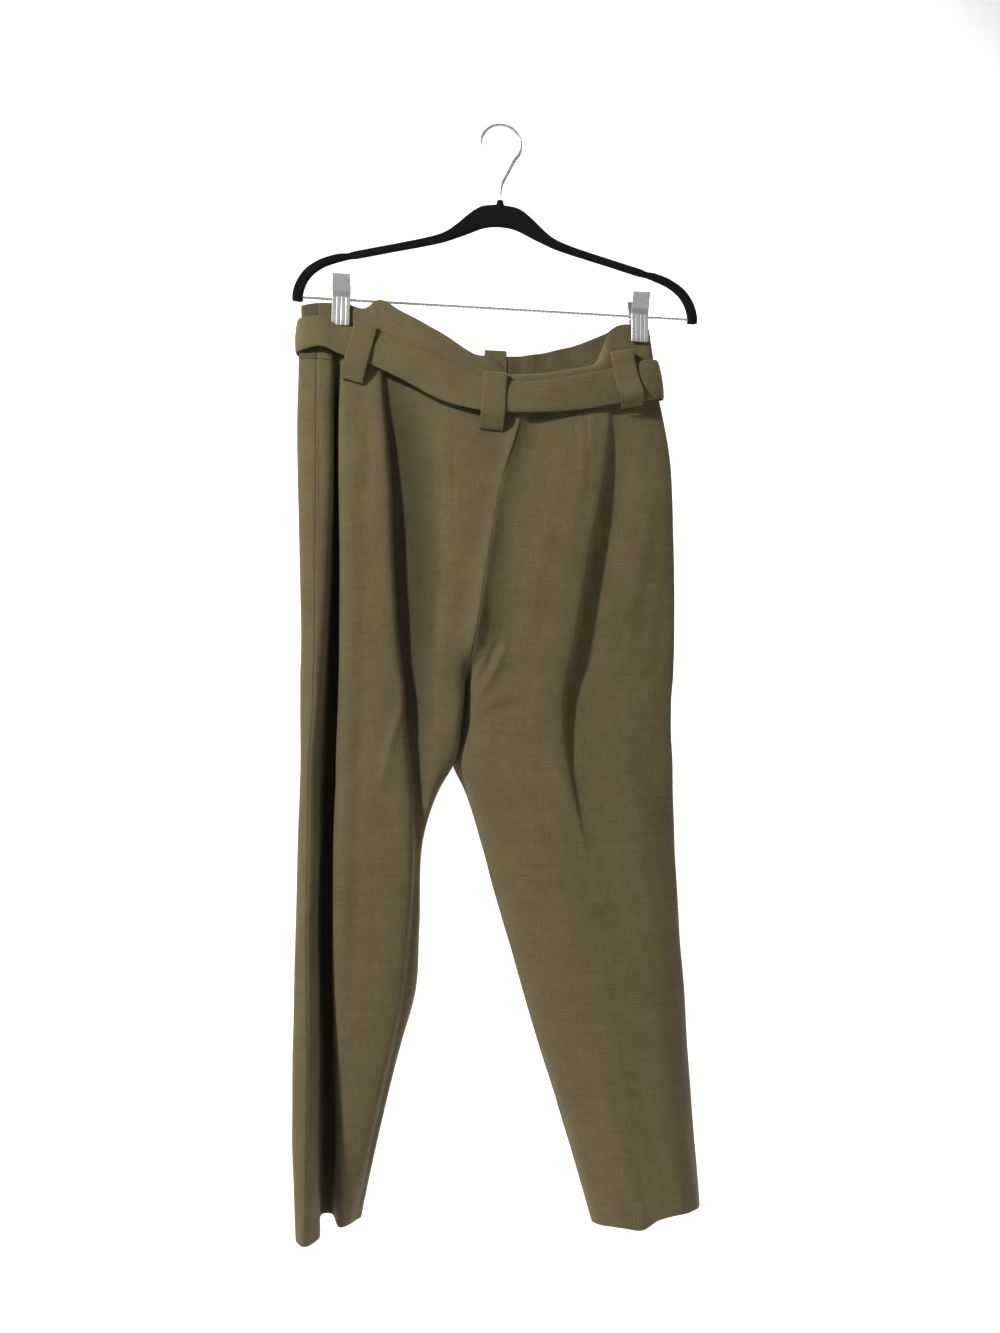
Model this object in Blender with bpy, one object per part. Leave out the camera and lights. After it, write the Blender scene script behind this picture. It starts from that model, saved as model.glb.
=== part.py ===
"""Paperbag waist trousers clipped to a slim hanger: leg panels, a frilled waistband, a belt and its loops."""

import math

import bpy
import numpy as np

MM = 0.001

# Cloth sizes, in millimetres. Heights are below the inside top of the hanger hook.
CLOTH = 1.5
BAND_CLOTH = 1.8
BELT_CLOTH = 2.2
LOOP_CLOTH = 1.6
SEAM_GAP = 0.3
WAIST_GAP = 1.1
CROTCH_GAP = 2.4
CROTCH_REACH = 9.0
CROTCH_FACING = np.array([0.6, 0.0, -0.8])
CROTCH_BLENDS = 3
CROTCH_BLEND_REACH = 30.0
WAIST_TOP = -285.0
LEVEL_BY = -470.0
CROTCH = -618.0
HEM = -1182.0
FRONT_BULGE = 4.0
STEPS_PER_SPAN = 2
BAND_STEPS = 3
BELT_STEPS = 3
BELT_ROUNDING = 0.8
LOOP_ROUNDING = 0.4

# Rows of the leg panels, from the waist seam to the hem.
ROWS = (
    -285, -340, -380, -420, -470, -520, -560, -590, -606, CROTCH, -635,
    -660, -690, -720, -750, -785, -830, -890, -950, -1015, -1080, -1135, HEM,
)

# Each line runs down the leg along a seam, fold or crease. Columns are its x, then its y, at these heights.
HEIGHTS = (-285, -330, -400, -500, -590, CROTCH, -660, -705, -735, -780, -880, -945, -1000, -1100, HEM)
LEFT_LINES = (
    ("inseam", (24, 24, 6, -11, -24, -28, -36, -45, -58, -73, -76, -79, -89, -112, -129),
     (-12, -13, -14, -16, -9, 16, 20, 26, 29, 33, 36, 39, 42, 50, 57)),
    ("inner", (8, 8, -10, -26, -36, -33, -36, -40, -55, -69, -72, -75, -88, -110, -125),
     (-11, -12, -14, -15, -13, -7, -8, 3, 9, 18, 20, 23, 27, 36, 46)),
    ("seat", (-48, -49, -49, -48, -54, -55, -55, -57, -62, -71, -75, -80, -91, -112, -127),
     (-11, -12, -13, -13, -12, -11, -10, -6, -2, 8, 8, 11, 16, 27, 42)),
    ("soft_floor", (-123, -119, -112, -105, -97, -93, -89, -83, -80, -79, -82, -88, -97, -116, -130),
     (-3, -2, -1, 0, 0, 0, 0, 1, 2, 3, 3, 6, 11, 24, 38)),
    ("soft_edge", (-127, -124, -117, -110, -102, -98, -95, -90, -87, -84, -87, -93, -102, -120, -133),
     (-8, -11, -14, -16, -16, -16, -15, -14, -13, -10, -5, -1, 4, 18, 33)),
    ("ridge", (-146, -144, -138, -135, -131, -130, -128, -127, -125, -122, -118, -119, -122, -131, -139),
     (-9, -12, -15, -17, -17, -17, -16, -15, -15, -13, -8, -4, 0, 12, 25)),
    ("deep_edge", (-168, -168, -166, -162, -160, -160, -160, -160, -160, -161, -159, -156, -153, -149, -147),
     (-8, -10, -12, -13, -13, -13, -12, -11, -11, -10, -6, -2, 2, 12, 20)),
    ("deep_floor", (-171, -171, -169, -167, -165, -165, -165, -166, -166, -167, -165, -162, -160, -157, -158),
     (3, 14, 24, 30, 35, 36, 38, 39, 41, 43, 47, 50, 52, 57, 59)),
    ("deep_back", (-175, -175, -174, -172, -172, -172, -173, -174, -174, -174, -173, -170, -168, -166, -166),
     (2, 13, 23, 29, 34, 35, 37, 38, 40, 42, 46, 49, 51, 56, 58)),
    ("lobe_edge", (-179, -178, -177, -177, -178, -179, -181, -183, -183, -182, -181, -178, -176, -173, -167),
     (-7, -10, -14, -16, -16, -16, -16, -16, -16, -16, -17, -17, -16, -12, -6)),
    ("side", (-195, -194, -192, -190, -188, -188, -188, -190, -190, -189, -188, -185, -183, -181, -180),
     (-9, -13, -17, -20, -21, -21, -21, -21, -21, -21, -23, -24, -25, -26, -27)),
    ("outer", (-214, -213, -211, -206, -202, -201, -200, -199, -199, -199, -199, -198, -197, -194, -190),
     (-3, -5, -8, -10, -10, -10, -10, -10, -10, -10, -12, -14, -15, -16, -14)),
    ("front_side", (-210, -209, -207, -203, -199, -198, -197, -196, -196, -196, -196, -195, -194, -191, -187),
     (8, 10, 12, 14, 16, 17, 18, 19, 21, 22, 24, 24, 24, 24, 22)),
    ("front_far", (-200, -200, -199, -196, -193, -192, -191, -190, -190, -190, -189, -188, -187, -185, -183),
     (16, 24, 34, 41, 46, 48, 50, 52, 53, 54, 56, 57, 58, 60, 60)),
)
RIGHT_LINES = (
    ("inseam", (24, 24, 6, -11, -24, -28, -33, -40, -26, -11, 19, 38, 55, 88, 114),
     (-12, -13, -14, -16, -9, 16, 20, 24, 24, 20, 16, 14, 13, 11, 9)),
    ("inner", (40, 38, 22, 4, -8, -20, -23, -28, -16, -2, 29, 48, 64, 96, 121),
     (-9, -10, -12, -13, -10, -4, 0, 2, 3, 4, 3, 2, 1, 0, -1)),
    ("seat", (82, 78, 66, 48, 34, 28, 26, 28, 34, 44, 66, 81, 94, 120, 139),
     (-10, -12, -14, -16, -15, -14, -12, -10, -9, -9, -9, -9, -9, -10, -11)),
    ("fold_edge", (123, 121, 115, 97, 83, 76, 74, 79, 85, 95, 112, 124, 134, 150, 161),
     (-6, -8, -11, -13, -13, -13, -12, -11, -10.5, -9.5, -10.5, -11.5, -12.5, -13.5, -14)),
    ("fold_foot", (127, 126, 120, 103, 89, 82, 79, 84, 90, 99, 117, 129, 139, 156, 167),
     (-6, -4, 0, 2, 2, 1, -1, -4, -6, -8, -10.5, -11, -12, -13, -13.5)),
    ("fold_floor", (135, 135, 135, 123, 106, 99, 94, 97, 102, 110, 128, 139, 148, 165, 177),
     (-5, -2.5, 2, 4, 4, 3, 1, -2, -4, -7, -9.5, -10.5, -11.5, -12.5, -13)),
    ("tube", (157, 161, 167, 166, 160, 158, 157, 159, 161, 165, 175, 182, 189, 201, 209),
     (-2, 0, 2.5, 5, 6, 6, 4, 2, 0, -2, -5, -6, -7, -9, -10)),
    ("outer", (178, 188, 197, 202, 201, 200, 199, 200, 200, 202, 208, 213, 217, 225, 233),
     (6, 8, 12, 15, 17, 18, 18, 17, 16, 16, 17, 18, 19, 20, 20)),
    ("side", (176, 186, 195, 200, 199, 198, 197, 198, 198, 200, 206, 211, 215, 222, 229),
     (13, 17, 22, 26, 29, 30, 31, 31, 33, 35, 39, 41, 43, 46, 46)),
)
# Depth of the front layer at the same heights, then its three lines: share of the way in, pull, bulge.
FRONT_DEPTH = {
    "left": (20, 30, 44, 53, 60, 61, 63, 65, 67, 68, 70, 71, 72, 76, 80),
    "right": (22, 28, 34, 40, 44, 45, 46, 47, 48, 50, 55, 58, 60, 66, 70),
}
FRONT_LINES = (
    ("front_outer", 0.2, 0.0, 0.0),
    ("front_crease", 0.5, 0.0, 1.0),
    ("front_inner", 0.8, 0.3, 0.0),
)
CENTRE_FRONT = ((0, 0, -4, -10, -24, -28), (28, 32, 40, 46, 36, 16))

# How far the right leg's hem rises above HEM at x.
HEM_RISE = ((100, 3), (140, 3), (162, 1), (180, 10), (205, 15), (240, 12))
HEM_FROM = -1040.0

# Heights across the waist, by x: the waist seam, the line under the frill and the frill's top edge.
BACK_WAIST = (
    (-216, -279), (-179, -280), (-143, -279), (-128, -284), (-85, -303), (-42, -322),
    (0, -327), (44, -325), (88, -318), (131, -308), (161, -300), (182, -296),
)
BACK_LINE = (
    (-214, -232), (-172, -236), (-143, -240), (-107, -254), (-64, -273), (-26, -291),
    (6, -295), (44, -293), (89, -283), (129, -272), (176, -258),
)
BACK_TOP = (
    (-216, -219), (-181, -215), (-162, -216), (-146, -219), (-131, -210), (-108, -221), (-64, -244),
    (-19, -270), (0, -273), (40, -268), (89, -250), (118, -234), (130, -224), (150, -220), (168, -223),
)
FRONT_WAIST = ((-210, -279), (-150, -288), (-100, -308), (0, -324), (95, -309), (178, -296))
FRONT_LINE = (
    (-210, -233), (-172, -236), (-131, -252), (-86, -268), (-43, -278), (0, -282),
    (51, -277), (95, -265), (130, -252), (174, -258),
)
FRONT_TOP = (
    (-212, -220), (-160, -217), (-131, -226), (-86, -241), (-43, -250), (0, -253.5),
    (51, -249), (95, -237), (126, -223), (156, -219), (168, -223),
)

# Where each line stands at the frill line and at the frill top: x, y, then x, y.
BAND_LEFT = (
    ("inseam", 1, -13, 0, -13), ("inner", -14, -14, -13, -14), ("seat", -50, -12, -50, -13),
    ("soft_floor", -118, -8, -119, -8), ("soft_edge", -127, -7, -130, -6), ("ridge", -146, -5, -146, -3.5),
    ("deep_edge", -164, -4, -163, -3), ("deep_floor", -170, -4, -170, -3), ("deep_back", -175, -4, -175, -3),
    ("lobe_edge", -181, -4, -182, -3), ("side", -195, -5, -196, -4), ("outer", -212.5, -1, -213.5, -0.5),
    ("front_side", -211.5, 6, -212.5, 6.3), ("front_far", -190, 6, -190, 5.5),
    ("front_outer", -160, 4.4, -160, 4), ("front_crease", -105, 16, -105, 16),
    ("front_inner", -40, 26, -40, 26), ("centre_front", 0, 29, 0, 29),
)
BAND_RIGHT = (
    ("inseam", 1, -13, 0, -13), ("inner", 14, -14, 14, -14), ("seat", 60, -14, 60, -14),
    ("fold_edge", 110, -9, 110, -9), ("fold_foot", 118, -8.4, 118, -8),
    ("fold_floor", 128, -7, 128, -6), ("tube", 150, -4, 152, -3),
    ("outer", 172.5, -2.2, 167, -2.2), ("side", 173.5, 4.6, 168, 4.6),
    ("front_outer", 144, 4.6, 144, 4.2), ("front_crease", 95, 16, 95, 16),
    ("front_inner", 45, 24, 45, 24), ("centre_front", 0, 29, 0, 29),
)
BAND_ROWS = (0.0, 0.35, 0.7, 1.0)
FRILL_ROWS = (0.28, 0.5, 0.72, 1.0)
# The frill's right back half leans over to the inside: y and z of each frill row from the frill line.
ROLLED = ((2.0, 7.5), (6.5, 10.0), (11.5, 9.5), (17.0, 6.5))
ROLL_FROM, ROLL_FULL, ROLL_FADE, ROLL_TO = 2.0, 12.0, 102.0, 124.0
PLEATS = (-112, -84, 66, 94)
PLEAT_HALF_WIDTH = 9.0
PLEAT_DEPTH = 5.0
PLEAT_ENDS = -400.0

# The belt all round, from the left end along the back: x at top and bottom, top, bottom, y at top and bottom.
BELT = (
    (-217, -218, -234, -272, 2, 1), (-211, -211, -233, -271, -7, -10), (-190, -190, -233, -268, -10, -17),
    (-172, -172, -242, -275, -10.5, -17), (-143, -143, -243, -283, -10.5, -16),
    (-106, -106, -255, -299, -13, -17), (-63, -63, -274, -321, -16.5, -20),
    (-21, -21, -292, -331, -18.5, -23), (6, 6, -296, -332, -18.5, -23),
    (44, 44, -294, -330, -18.5, -22), (88, 88, -284, -324, -16, -19), (131, 131, -272, -314, -12, -15),
    (161, 163, -262, -308, -10, -12), (176.5, 183, -259, -302, -4.5, -3), (179.5, 187, -258, -300, 9, 11),
    (168, 176, -257, -299, 15, 20), (140, 144, -256, -298, 19, 28), (95, 95, -267, -309, 26, 36),
    (50, 50, -279, -321, 34, 40), (0, 0, -284, -326, 38, 41), (-50, -50, -280, -322, 34, 41),
    (-100, -100, -266, -308, 26, 37), (-150, -150, -246, -288, 18, 30), (-190, -190, -238, -280, 14, 22),
    (-210, -210, -235, -275, 11, 15),
)
# Rows of the table that lie on the back, and on the front from its right end to its left.
BELT_BACK = slice(1, 14)
BELT_FRONT = slice(15, 25)

# Belt loops: x and height of each end, y of each end, width, and where the belt ends along the loop.
LOOPS = (
    ("loop_back_left", (-144, -243), (-158, -303), -8.8, -14.0, 25, 0.66, "back"),
    ("loop_back_centre", (-5, -291), (-8, -350), -17.2, -16.0, 26, 0.72, "back"),
    ("loop_back_right", (134, -257.5), (147, -316), -10.8, -11.0, 26, 0.93, "back"),
    ("loop_front_left", (-98, -264), (-98, -322), 24.5, 41.5, 26, 0.8, "front"),
    ("loop_front_right", (88, -266), (88, -322), 24.0, 38.5, 26, 0.8, "front"),
)
LOOP_STAND_OFF = 3.7
LOOP_ROWS = (0.0, 0.001, 0.25, 0.5)
LOOP_RISE = (4.6, 1.6, 0.0, 0.0)

# Fly shield behind the centre front.
SHIELD_HALF_WIDTH = 12.5
SHIELD_TOP = -247.5
SHIELD_BOTTOM = -328.0
SHIELD_Y = 24.6
SHIELD_CLOTH = 1.2

# Hanger: half outline as x, upper edge, lower edge, then the shoulder as x, height, thickness.
HANGER_DEPTH = 5.0
BAR_CORNERS = (
    (-1, -0.45), (-0.72, -1), (0.72, -1), (1, -0.45), (1, 0.45), (0.72, 1), (-0.72, 1), (-1, 0.45),
)
HUMP = (
    (0, -92, -116), (12, -92, -117), (22, -94, -120), (34, -103, -126), (48, -117, -132),
    (62, -128.5, -138), (90, -137, -145.5), (120, -145, -153), (150, -153, -161),
)
SHOULDER = (
    (158, -159, 8), (165, -161, 5.2), (172, -162, 8.5), (190, -168, 9), (206, -179, 10),
    (214, -192, 10.5), (217.5, -204, 11), (217.5, -214, 11),
)
COLLAR_RADIUS = 3.4
COLLAR_TOP = -86.5
COLLAR_BOTTOM = -99.0
HOOK_WIRE = 1.8
HOOK_INSIDE = 21.0
HOOK_STEM_BOTTOM = -86.2
BAR_RADIUS = 1.5
BAR_HEIGHT = -209.6
BAR_HALF_LENGTH = 218.0
SOCKET_HALF_LENGTH = 219.0
CLIPS = (("left", -171.0), ("right", 156.5))
CLIP_HALF_WIDTH = 9.6
# A clip plate from the lever's tip to the jaw's lip: y and height of its outer face.
CLIP_PLATE = ((16.0, -187), (14.0, -191), (8.8, -203), (7.5, -209), (7.2, -215), (7.2, -236), (7.7, -240.5))
CLIP_WALL = 1.1
SPRING_RADIUS = 3.1
SPRING_WALL = 1.0
SPRING_HALF_LENGTH = 6.5
SPRING_SIDES = 16

COLOURS = {
    "trouser_cloth": (0.115, 0.095, 0.05, 1.0),
    "hanger_flock": (0.012, 0.012, 0.014, 1.0),
    "bright_metal": (0.75, 0.75, 0.77, 1.0),
}


def clear_scene():
    for item in list(bpy.data.objects):
        bpy.data.objects.remove(item, do_unlink=True)


def material(name):
    found = bpy.data.materials.get(name)
    if found:
        return found
    made = bpy.data.materials.new(name)
    made.use_nodes = True
    shader = made.node_tree.nodes["Principled BSDF"]
    shader.inputs["Base Color"].default_value = COLOURS[name]
    shader.inputs["Roughness"].default_value = 0.3 if name == "bright_metal" else 0.85
    shader.inputs["Metallic"].default_value = 1.0 if name == "bright_metal" else 0.0
    return made


def solid(name, points, faces, slot):
    """One object from points in millimetres, its faces turned outwards."""
    points = np.array(points, float)
    volume = 0.0
    for face in faces:
        for k in range(1, len(face) - 1):
            volume += np.dot(points[face[0]], np.cross(points[face[k]], points[face[k + 1]]))
    if volume < 0:
        faces = [tuple(reversed(face)) for face in faces]
    mesh = bpy.data.meshes.new(name)
    mesh.from_pydata([tuple(float(v) * MM for v in p) for p in points], [], [tuple(f) for f in faces])
    mesh.materials.append(material(slot))
    mesh.validate()
    made = bpy.data.objects.new(name, mesh)
    bpy.context.scene.collection.objects.link(made)
    return made


def slopes(places, values):
    """Tangents of a smooth curve through values given at rising places."""
    steps = np.diff(places)
    rises = np.diff(values, axis=0) / steps[:, None]
    out = np.empty_like(values)
    out[0], out[-1] = rises[0], rises[-1]
    mixed = rises[:-1] * steps[1:, None] + rises[1:] * steps[:-1, None]
    out[1:-1] = mixed / (steps[1:] + steps[:-1])[:, None]
    return out


def through(places, values, at):
    """The smooth curve through (places, values), read at each of at. Beyond the ends it runs on straight."""
    places = np.asarray(places, float)
    values = np.asarray(values, float)
    if places[0] > places[-1]:
        places, values = places[::-1], values[::-1]
    tangents = slopes(places, values)
    at = np.asarray(at, float)
    k = np.clip(np.searchsorted(places, at) - 1, 0, len(places) - 2)
    step = places[k + 1] - places[k]
    t = (at - places[k]) / step
    inside = np.clip(t, 0.0, 1.0)[:, None]
    h = step[:, None]
    a = (1 + 2 * inside) * (1 - inside) ** 2 * values[k] + inside * (1 - inside) ** 2 * h * tangents[k]
    b = inside**2 * (3 - 2 * inside) * values[k + 1] + inside**2 * (inside - 1) * h * tangents[k + 1]
    beyond = (t - np.clip(t, 0.0, 1.0))[:, None] * h
    ends = np.where((t > 1)[:, None], tangents[k + 1], tangents[k])
    return a + b + beyond * ends


def height_at(table, x):
    rows = np.array(table, float)
    return through(rows[:, 0], rows[:, 1:2], np.atleast_1d(x))[:, 0]


def around(stations, u):
    """Points at each u along a smooth curve through the stations, where u counts stations."""
    stations = np.asarray(stations, float)
    chords = np.maximum(np.linalg.norm(np.diff(stations, axis=0), axis=1), 1e-6) ** 0.5
    places = np.concatenate([[0.0], np.cumsum(chords)])
    u = np.asarray(u, float)
    k = np.clip(np.floor(u).astype(int), 0, len(stations) - 2)
    return through(places, stations, places[k] + (u - k) * chords[k])


def smooth_step(low, high, value):
    t = np.clip((value - low) / (high - low), 0.0, 1.0)
    return t * t * (3 - 2 * t)


def section(half, height):
    """The stations of one half at a height, from the centre back or inseam round to the front."""
    lines = LEFT_LINES if half == "left" else RIGHT_LINES
    at = np.array([height])
    found = [through(HEIGHTS, np.array([xs, ys]).T, at)[0] for _, xs, ys in lines]
    depth = through(HEIGHTS, np.array([FRONT_DEPTH[half]]).T, at)[0, 0]
    names = [name for name, _, _ in lines]
    outer = found[names.index("outer")]
    if height >= CROTCH:
        end = through(HEIGHTS[: len(CENTRE_FRONT[0])], np.array(CENTRE_FRONT).T, at)[0]
    else:
        end = found[0]
    for _, share, pull, bulge in FRONT_LINES:
        x = outer[0] + share * (end[0] - outer[0])
        y = (1 - pull) * (depth + bulge * FRONT_BULGE) + pull * end[1]
        found.append(np.array([x, y]))
    found.append(end)
    return np.array(found)


def side_index(half):
    lines = LEFT_LINES if half == "left" else RIGHT_LINES
    return [name for name, _, _ in lines].index("side")


def station_count(half):
    return len(LEFT_LINES if half == "left" else RIGHT_LINES) + len(FRONT_LINES) + 1


def pleat_relief(x, height):
    """How far the front's pleats fall in at x, fading down the leg."""
    fade = np.clip((height - PLEAT_ENDS) / (WAIST_TOP - PLEAT_ENDS), 0.0, 1.0)
    fall = sum(np.exp(-(((x - place) / PLEAT_HALF_WIDTH) ** 2)) for place in PLEATS)
    return PLEAT_DEPTH * fade * fall


def hem_rise(half, nominal, x):
    """How far the cloth is lifted at x, from nothing at HEM_FROM to the hem's rise at HEM."""
    share = np.clip((HEM_FROM - nominal) / (HEM_FROM - HEM), 0.0, 1.0)
    return share * height_at(HEM_RISE, x) if half == "right" else 0.0 * x


def body_row(half, nominal, u):
    """Points of one row of the legs at each u. Upper rows follow the waist seam."""
    follow = np.clip((nominal - LEVEL_BY) / (WAIST_TOP - LEVEL_BY), 0.0, 1.0)
    side = side_index(half) + 1.5
    flat = around(section(half, nominal), u)
    back = height_at(BACK_WAIST, flat[:, 0])
    front = height_at(FRONT_WAIST, flat[:, 0])
    share = smooth_step(side - 1.5, side + 1.0, u)
    seam = back * (1 - share) + front * share
    heights = nominal + (seam - WAIST_TOP) * follow + hem_rise(half, nominal, flat[:, 0])
    out = np.empty((len(u), 3))
    for i, height in enumerate(heights):
        out[i, :2] = around(section(half, height), u[i : i + 1])[0]
        out[i, 2] = height
    front_share = smooth_step(side, side + 1.2, u) * smooth_step(0.0, 0.3, station_count(half) - 1 - u)
    out[:, 1] -= front_share * pleat_relief(out[:, 0], heights)
    return out


def band_stations(half, column):
    rows = BAND_LEFT if half == "left" else BAND_RIGHT
    return np.array([row[1 + column : 3 + column] for row in rows], float)


def band_rows(half, u):
    """Rows of the waistband at each u, from the waist seam up to the frill's top edge."""
    side = side_index(half) + 1.5
    share = smooth_step(side - 1.5, side + 1.0, u)
    coarse = np.arange(STEPS_PER_SPAN * (station_count(half) - 1) + 1) / STEPS_PER_SPAN
    seam = body_row(half, WAIST_TOP, coarse)
    low = np.column_stack([np.interp(u, coarse, seam[:, k]) for k in range(3)])
    low[:, 2] += WAIST_GAP
    line = around(band_stations(half, 0), u)
    top = around(band_stations(half, 2), u)
    line_z = height_at(BACK_LINE, line[:, 0]) * (1 - share) + height_at(FRONT_LINE, line[:, 0]) * share
    top_z = height_at(BACK_TOP, top[:, 0]) * (1 - share) + height_at(FRONT_TOP, top[:, 0]) * share
    line = np.column_stack([line, line_z])
    top = np.column_stack([top, top_z])
    rows = [low + (line - low) * (t, t, t) * np.ones((len(u), 1)) for t in BAND_ROWS]
    for row, t in zip(rows, BAND_ROWS):
        row[:, 1] = low[:, 1] + (line[:, 1] - low[:, 1]) * (1 - (1 - t) ** 2)
    rolled = np.zeros(len(u))
    if half == "right":
        rolled = smooth_step(ROLL_FROM, ROLL_FULL, line[:, 0])
        rolled = rolled * (1 - smooth_step(ROLL_FADE, ROLL_TO, line[:, 0])) * (u < side)
    for t, (over, up) in zip(FRILL_ROWS, ROLLED):
        upright = line + (top - line) * t
        folded = line + np.array([0.0, over, up])
        rows.append(upright * (1 - rolled)[:, None] + folded * rolled[:, None])
    return np.array(rows)


def facing(grid, flip):
    """Area-weighted normals at the points of a grid, before seams are shared."""
    out = np.zeros_like(grid)
    a, b = grid[:-1, :-1], grid[:-1, 1:]
    c, d = grid[1:, 1:], grid[1:, :-1]
    cross = np.cross(c - a, d - b)
    cross = -cross if flip else cross
    out[:-1, :-1] += cross
    out[:-1, 1:] += cross
    out[1:, 1:] += cross
    out[1:, :-1] += cross
    return out


def unit(vectors):
    return vectors / np.maximum(np.linalg.norm(vectors, axis=-1, keepdims=True), 1e-9)


def share_seams(left, right, split_row):
    """Makes normals agree where panels meet: above split_row with the other half, below it their own."""
    for side in (0, -1):
        joined = left[:split_row, side] + right[:split_row, side]
        left[:split_row, side] = joined
        right[:split_row, side] = joined
    for half in (left, right):
        joined = half[split_row:, 0] + half[split_row:, -1]
        half[split_row:, 0] = joined
        half[split_row:, -1] = joined


def blend_near_crotch(normals, grid):
    """Evens out the facing of columns beside the crotch, so that the wall doesn't pinch there."""
    out = normals.copy()
    for _ in range(CROTCH_BLENDS):
        wide = out.copy()
        wide[1:-1, 1:-1] += out[1:-1, 1:-1] + out[:-2, 1:-1] + out[2:, 1:-1]
        wide[1:-1, 1:-1] += out[1:-1, :-2] + out[1:-1, 2:]
        near = np.exp(-(((grid[:, :, 2] - CROTCH) / CROTCH_BLEND_REACH) ** 2))[:, :, None]
        out = unit(out * (1 - near) + unit(wide) * near)
    return out


def shell(name, grid, normals, wall, slot):
    """A closed wall from a grid of points on its outer face. Both side edges draw in by half a seam gap."""
    grid = grid.copy()
    for edge, inside in ((0, 1), (-1, -2)):
        step = unit(grid[:, inside] - grid[:, edge])
        across = step - normals[:, edge] * np.sum(step * normals[:, edge], axis=1, keepdims=True)
        near_crotch = np.exp(-(((grid[:, edge, 2] - CROTCH) / CROTCH_REACH) ** 2))
        gap = SEAM_GAP / 2 + CROTCH_GAP * near_crotch
        grid[:, edge] = grid[:, edge] + unit(across) * gap[:, None]
    rows, columns = grid.shape[:2]
    inner = grid - normals * wall
    points = np.concatenate([grid.reshape(-1, 3), inner.reshape(-1, 3)])
    count = rows * columns

    def at(row, column, layer):
        return layer * count + row * columns + column

    faces = []
    for r in range(rows - 1):
        for c in range(columns - 1):
            faces.append((at(r, c, 0), at(r, c + 1, 0), at(r + 1, c + 1, 0), at(r + 1, c, 0)))
            faces.append((at(r, c, 1), at(r + 1, c, 1), at(r + 1, c + 1, 1), at(r, c + 1, 1)))
    for c in range(columns - 1):
        faces.append((at(0, c, 0), at(0, c, 1), at(0, c + 1, 1), at(0, c + 1, 0)))
        last = rows - 1
        faces.append((at(last, c, 0), at(last, c + 1, 0), at(last, c + 1, 1), at(last, c, 1)))
    for r in range(rows - 1):
        faces.append((at(r, 0, 0), at(r + 1, 0, 0), at(r + 1, 0, 1), at(r, 0, 1)))
        last = columns - 1
        faces.append((at(r, last, 0), at(r, last, 1), at(r + 1, last, 1), at(r + 1, last, 0)))
    return solid(name, points, faces, slot)


def build_legs():
    grids = {}
    raw = {}
    for half in ("left", "right"):
        last = station_count(half) - 1
        u = np.linspace(0, last, last * STEPS_PER_SPAN + 1)
        grids[half] = np.array([body_row(half, nominal, u) for nominal in ROWS])
        raw[half] = facing(grids[half], half == "right")
    split = ROWS.index(CROTCH) + 1
    share_seams(raw["left"], raw["right"], split)
    for half in ("left", "right"):
        raw[half][split - 1, (0, -1)] = CROTCH_FACING * np.array([1 if half == "left" else -1, 1, 1])
        normals = blend_near_crotch(unit(raw[half]), grids[half])
        side = side_index(half) * STEPS_PER_SPAN
        normals[0, :, 2] = 0.0
        normals[0] = unit(normals[0])
        grid = grids[half]
        for face, part in (("back_", slice(0, side + 1)), ("front_", slice(side, None))):
            shell(face + half, grid[:, part], normals[:, part], CLOTH, "trouser_cloth")


def build_band():
    grids = {}
    raw = {}
    for half in ("left", "right"):
        last = station_count(half) - 1
        u = np.linspace(0, last, last * BAND_STEPS + 1)
        grids[half] = band_rows(half, u)[::-1]
        raw[half] = facing(grids[half], half == "right")
    share_seams(raw["left"], raw["right"], len(grids["left"]))
    for half in ("left", "right"):
        normals = unit(raw[half])
        side = side_index(half) * BAND_STEPS
        normals[-1, :, 2] = 0.0
        normals[-1] = unit(normals[-1])
        grid = grids[half]
        for face, part in (("band_back_", slice(0, side + 1)), ("band_front_", slice(side, None))):
            shell(face + half, grid[:, part], normals[:, part], BAND_CLOTH, "trouser_cloth")


def closed_loop(stations, steps):
    """A smooth closed curve through the stations."""
    extended = np.concatenate([stations[-3:], stations, stations[:3]])
    u = 3 + np.arange(len(stations) * steps) / steps
    return around(extended, u)


def swept_ring(name, rings, slot, closed=True):
    """Joins rings of equal point count. closed joins the last to the first, or else both ends are capped."""
    count = len(rings)
    sides = len(rings[0])
    points = np.concatenate(rings)
    faces = []
    for k in range(count if closed else count - 1):
        after = (k + 1) % count
        for j in range(sides):
            beside = (j + 1) % sides
            faces.append((k * sides + j, k * sides + beside, after * sides + beside, after * sides + j))
    if not closed:
        faces.append(tuple(reversed(range(sides))))
        faces.append(tuple((count - 1) * sides + j for j in range(sides)))
    return solid(name, points, faces, slot)


def build_belt():
    """One flat band all round, its wall inside the line of the table."""
    rows = np.array(BELT, float)
    path = closed_loop(rows, BELT_STEPS)
    around_path = np.roll(path, -1, axis=0) - np.roll(path, 1, axis=0)
    outward = unit(np.column_stack([around_path[:, 4], -around_path[:, 0], np.zeros(len(path))]))
    top = path[:, [0, 4, 2]]
    bottom = path[:, [1, 5, 3]]
    middle = (top + bottom) / 2 + outward * BELT_ROUNDING
    rings = []
    for k in range(len(path)):
        inward = -outward[k] * BELT_CLOTH
        outer = [top[k], middle[k], bottom[k]]
        rings.append(np.array(outer + [point + inward for point in reversed(outer)]))
    return swept_ring("belt", rings, "trouser_cloth")


def belt_face(x, height, side):
    """y of the belt's outer face near x and height, on the back or the front."""
    rows = np.array(BELT, float)
    half = rows[BELT_BACK] if side == "back" else rows[BELT_FRONT][::-1]
    found = through(half[:, 0], half[:, 2:], np.array([x]))[0]
    share = np.clip((height - found[0]) / (found[1] - found[0]), 0.0, 1.0)
    return found[2] + (found[3] - found[2]) * share


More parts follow.
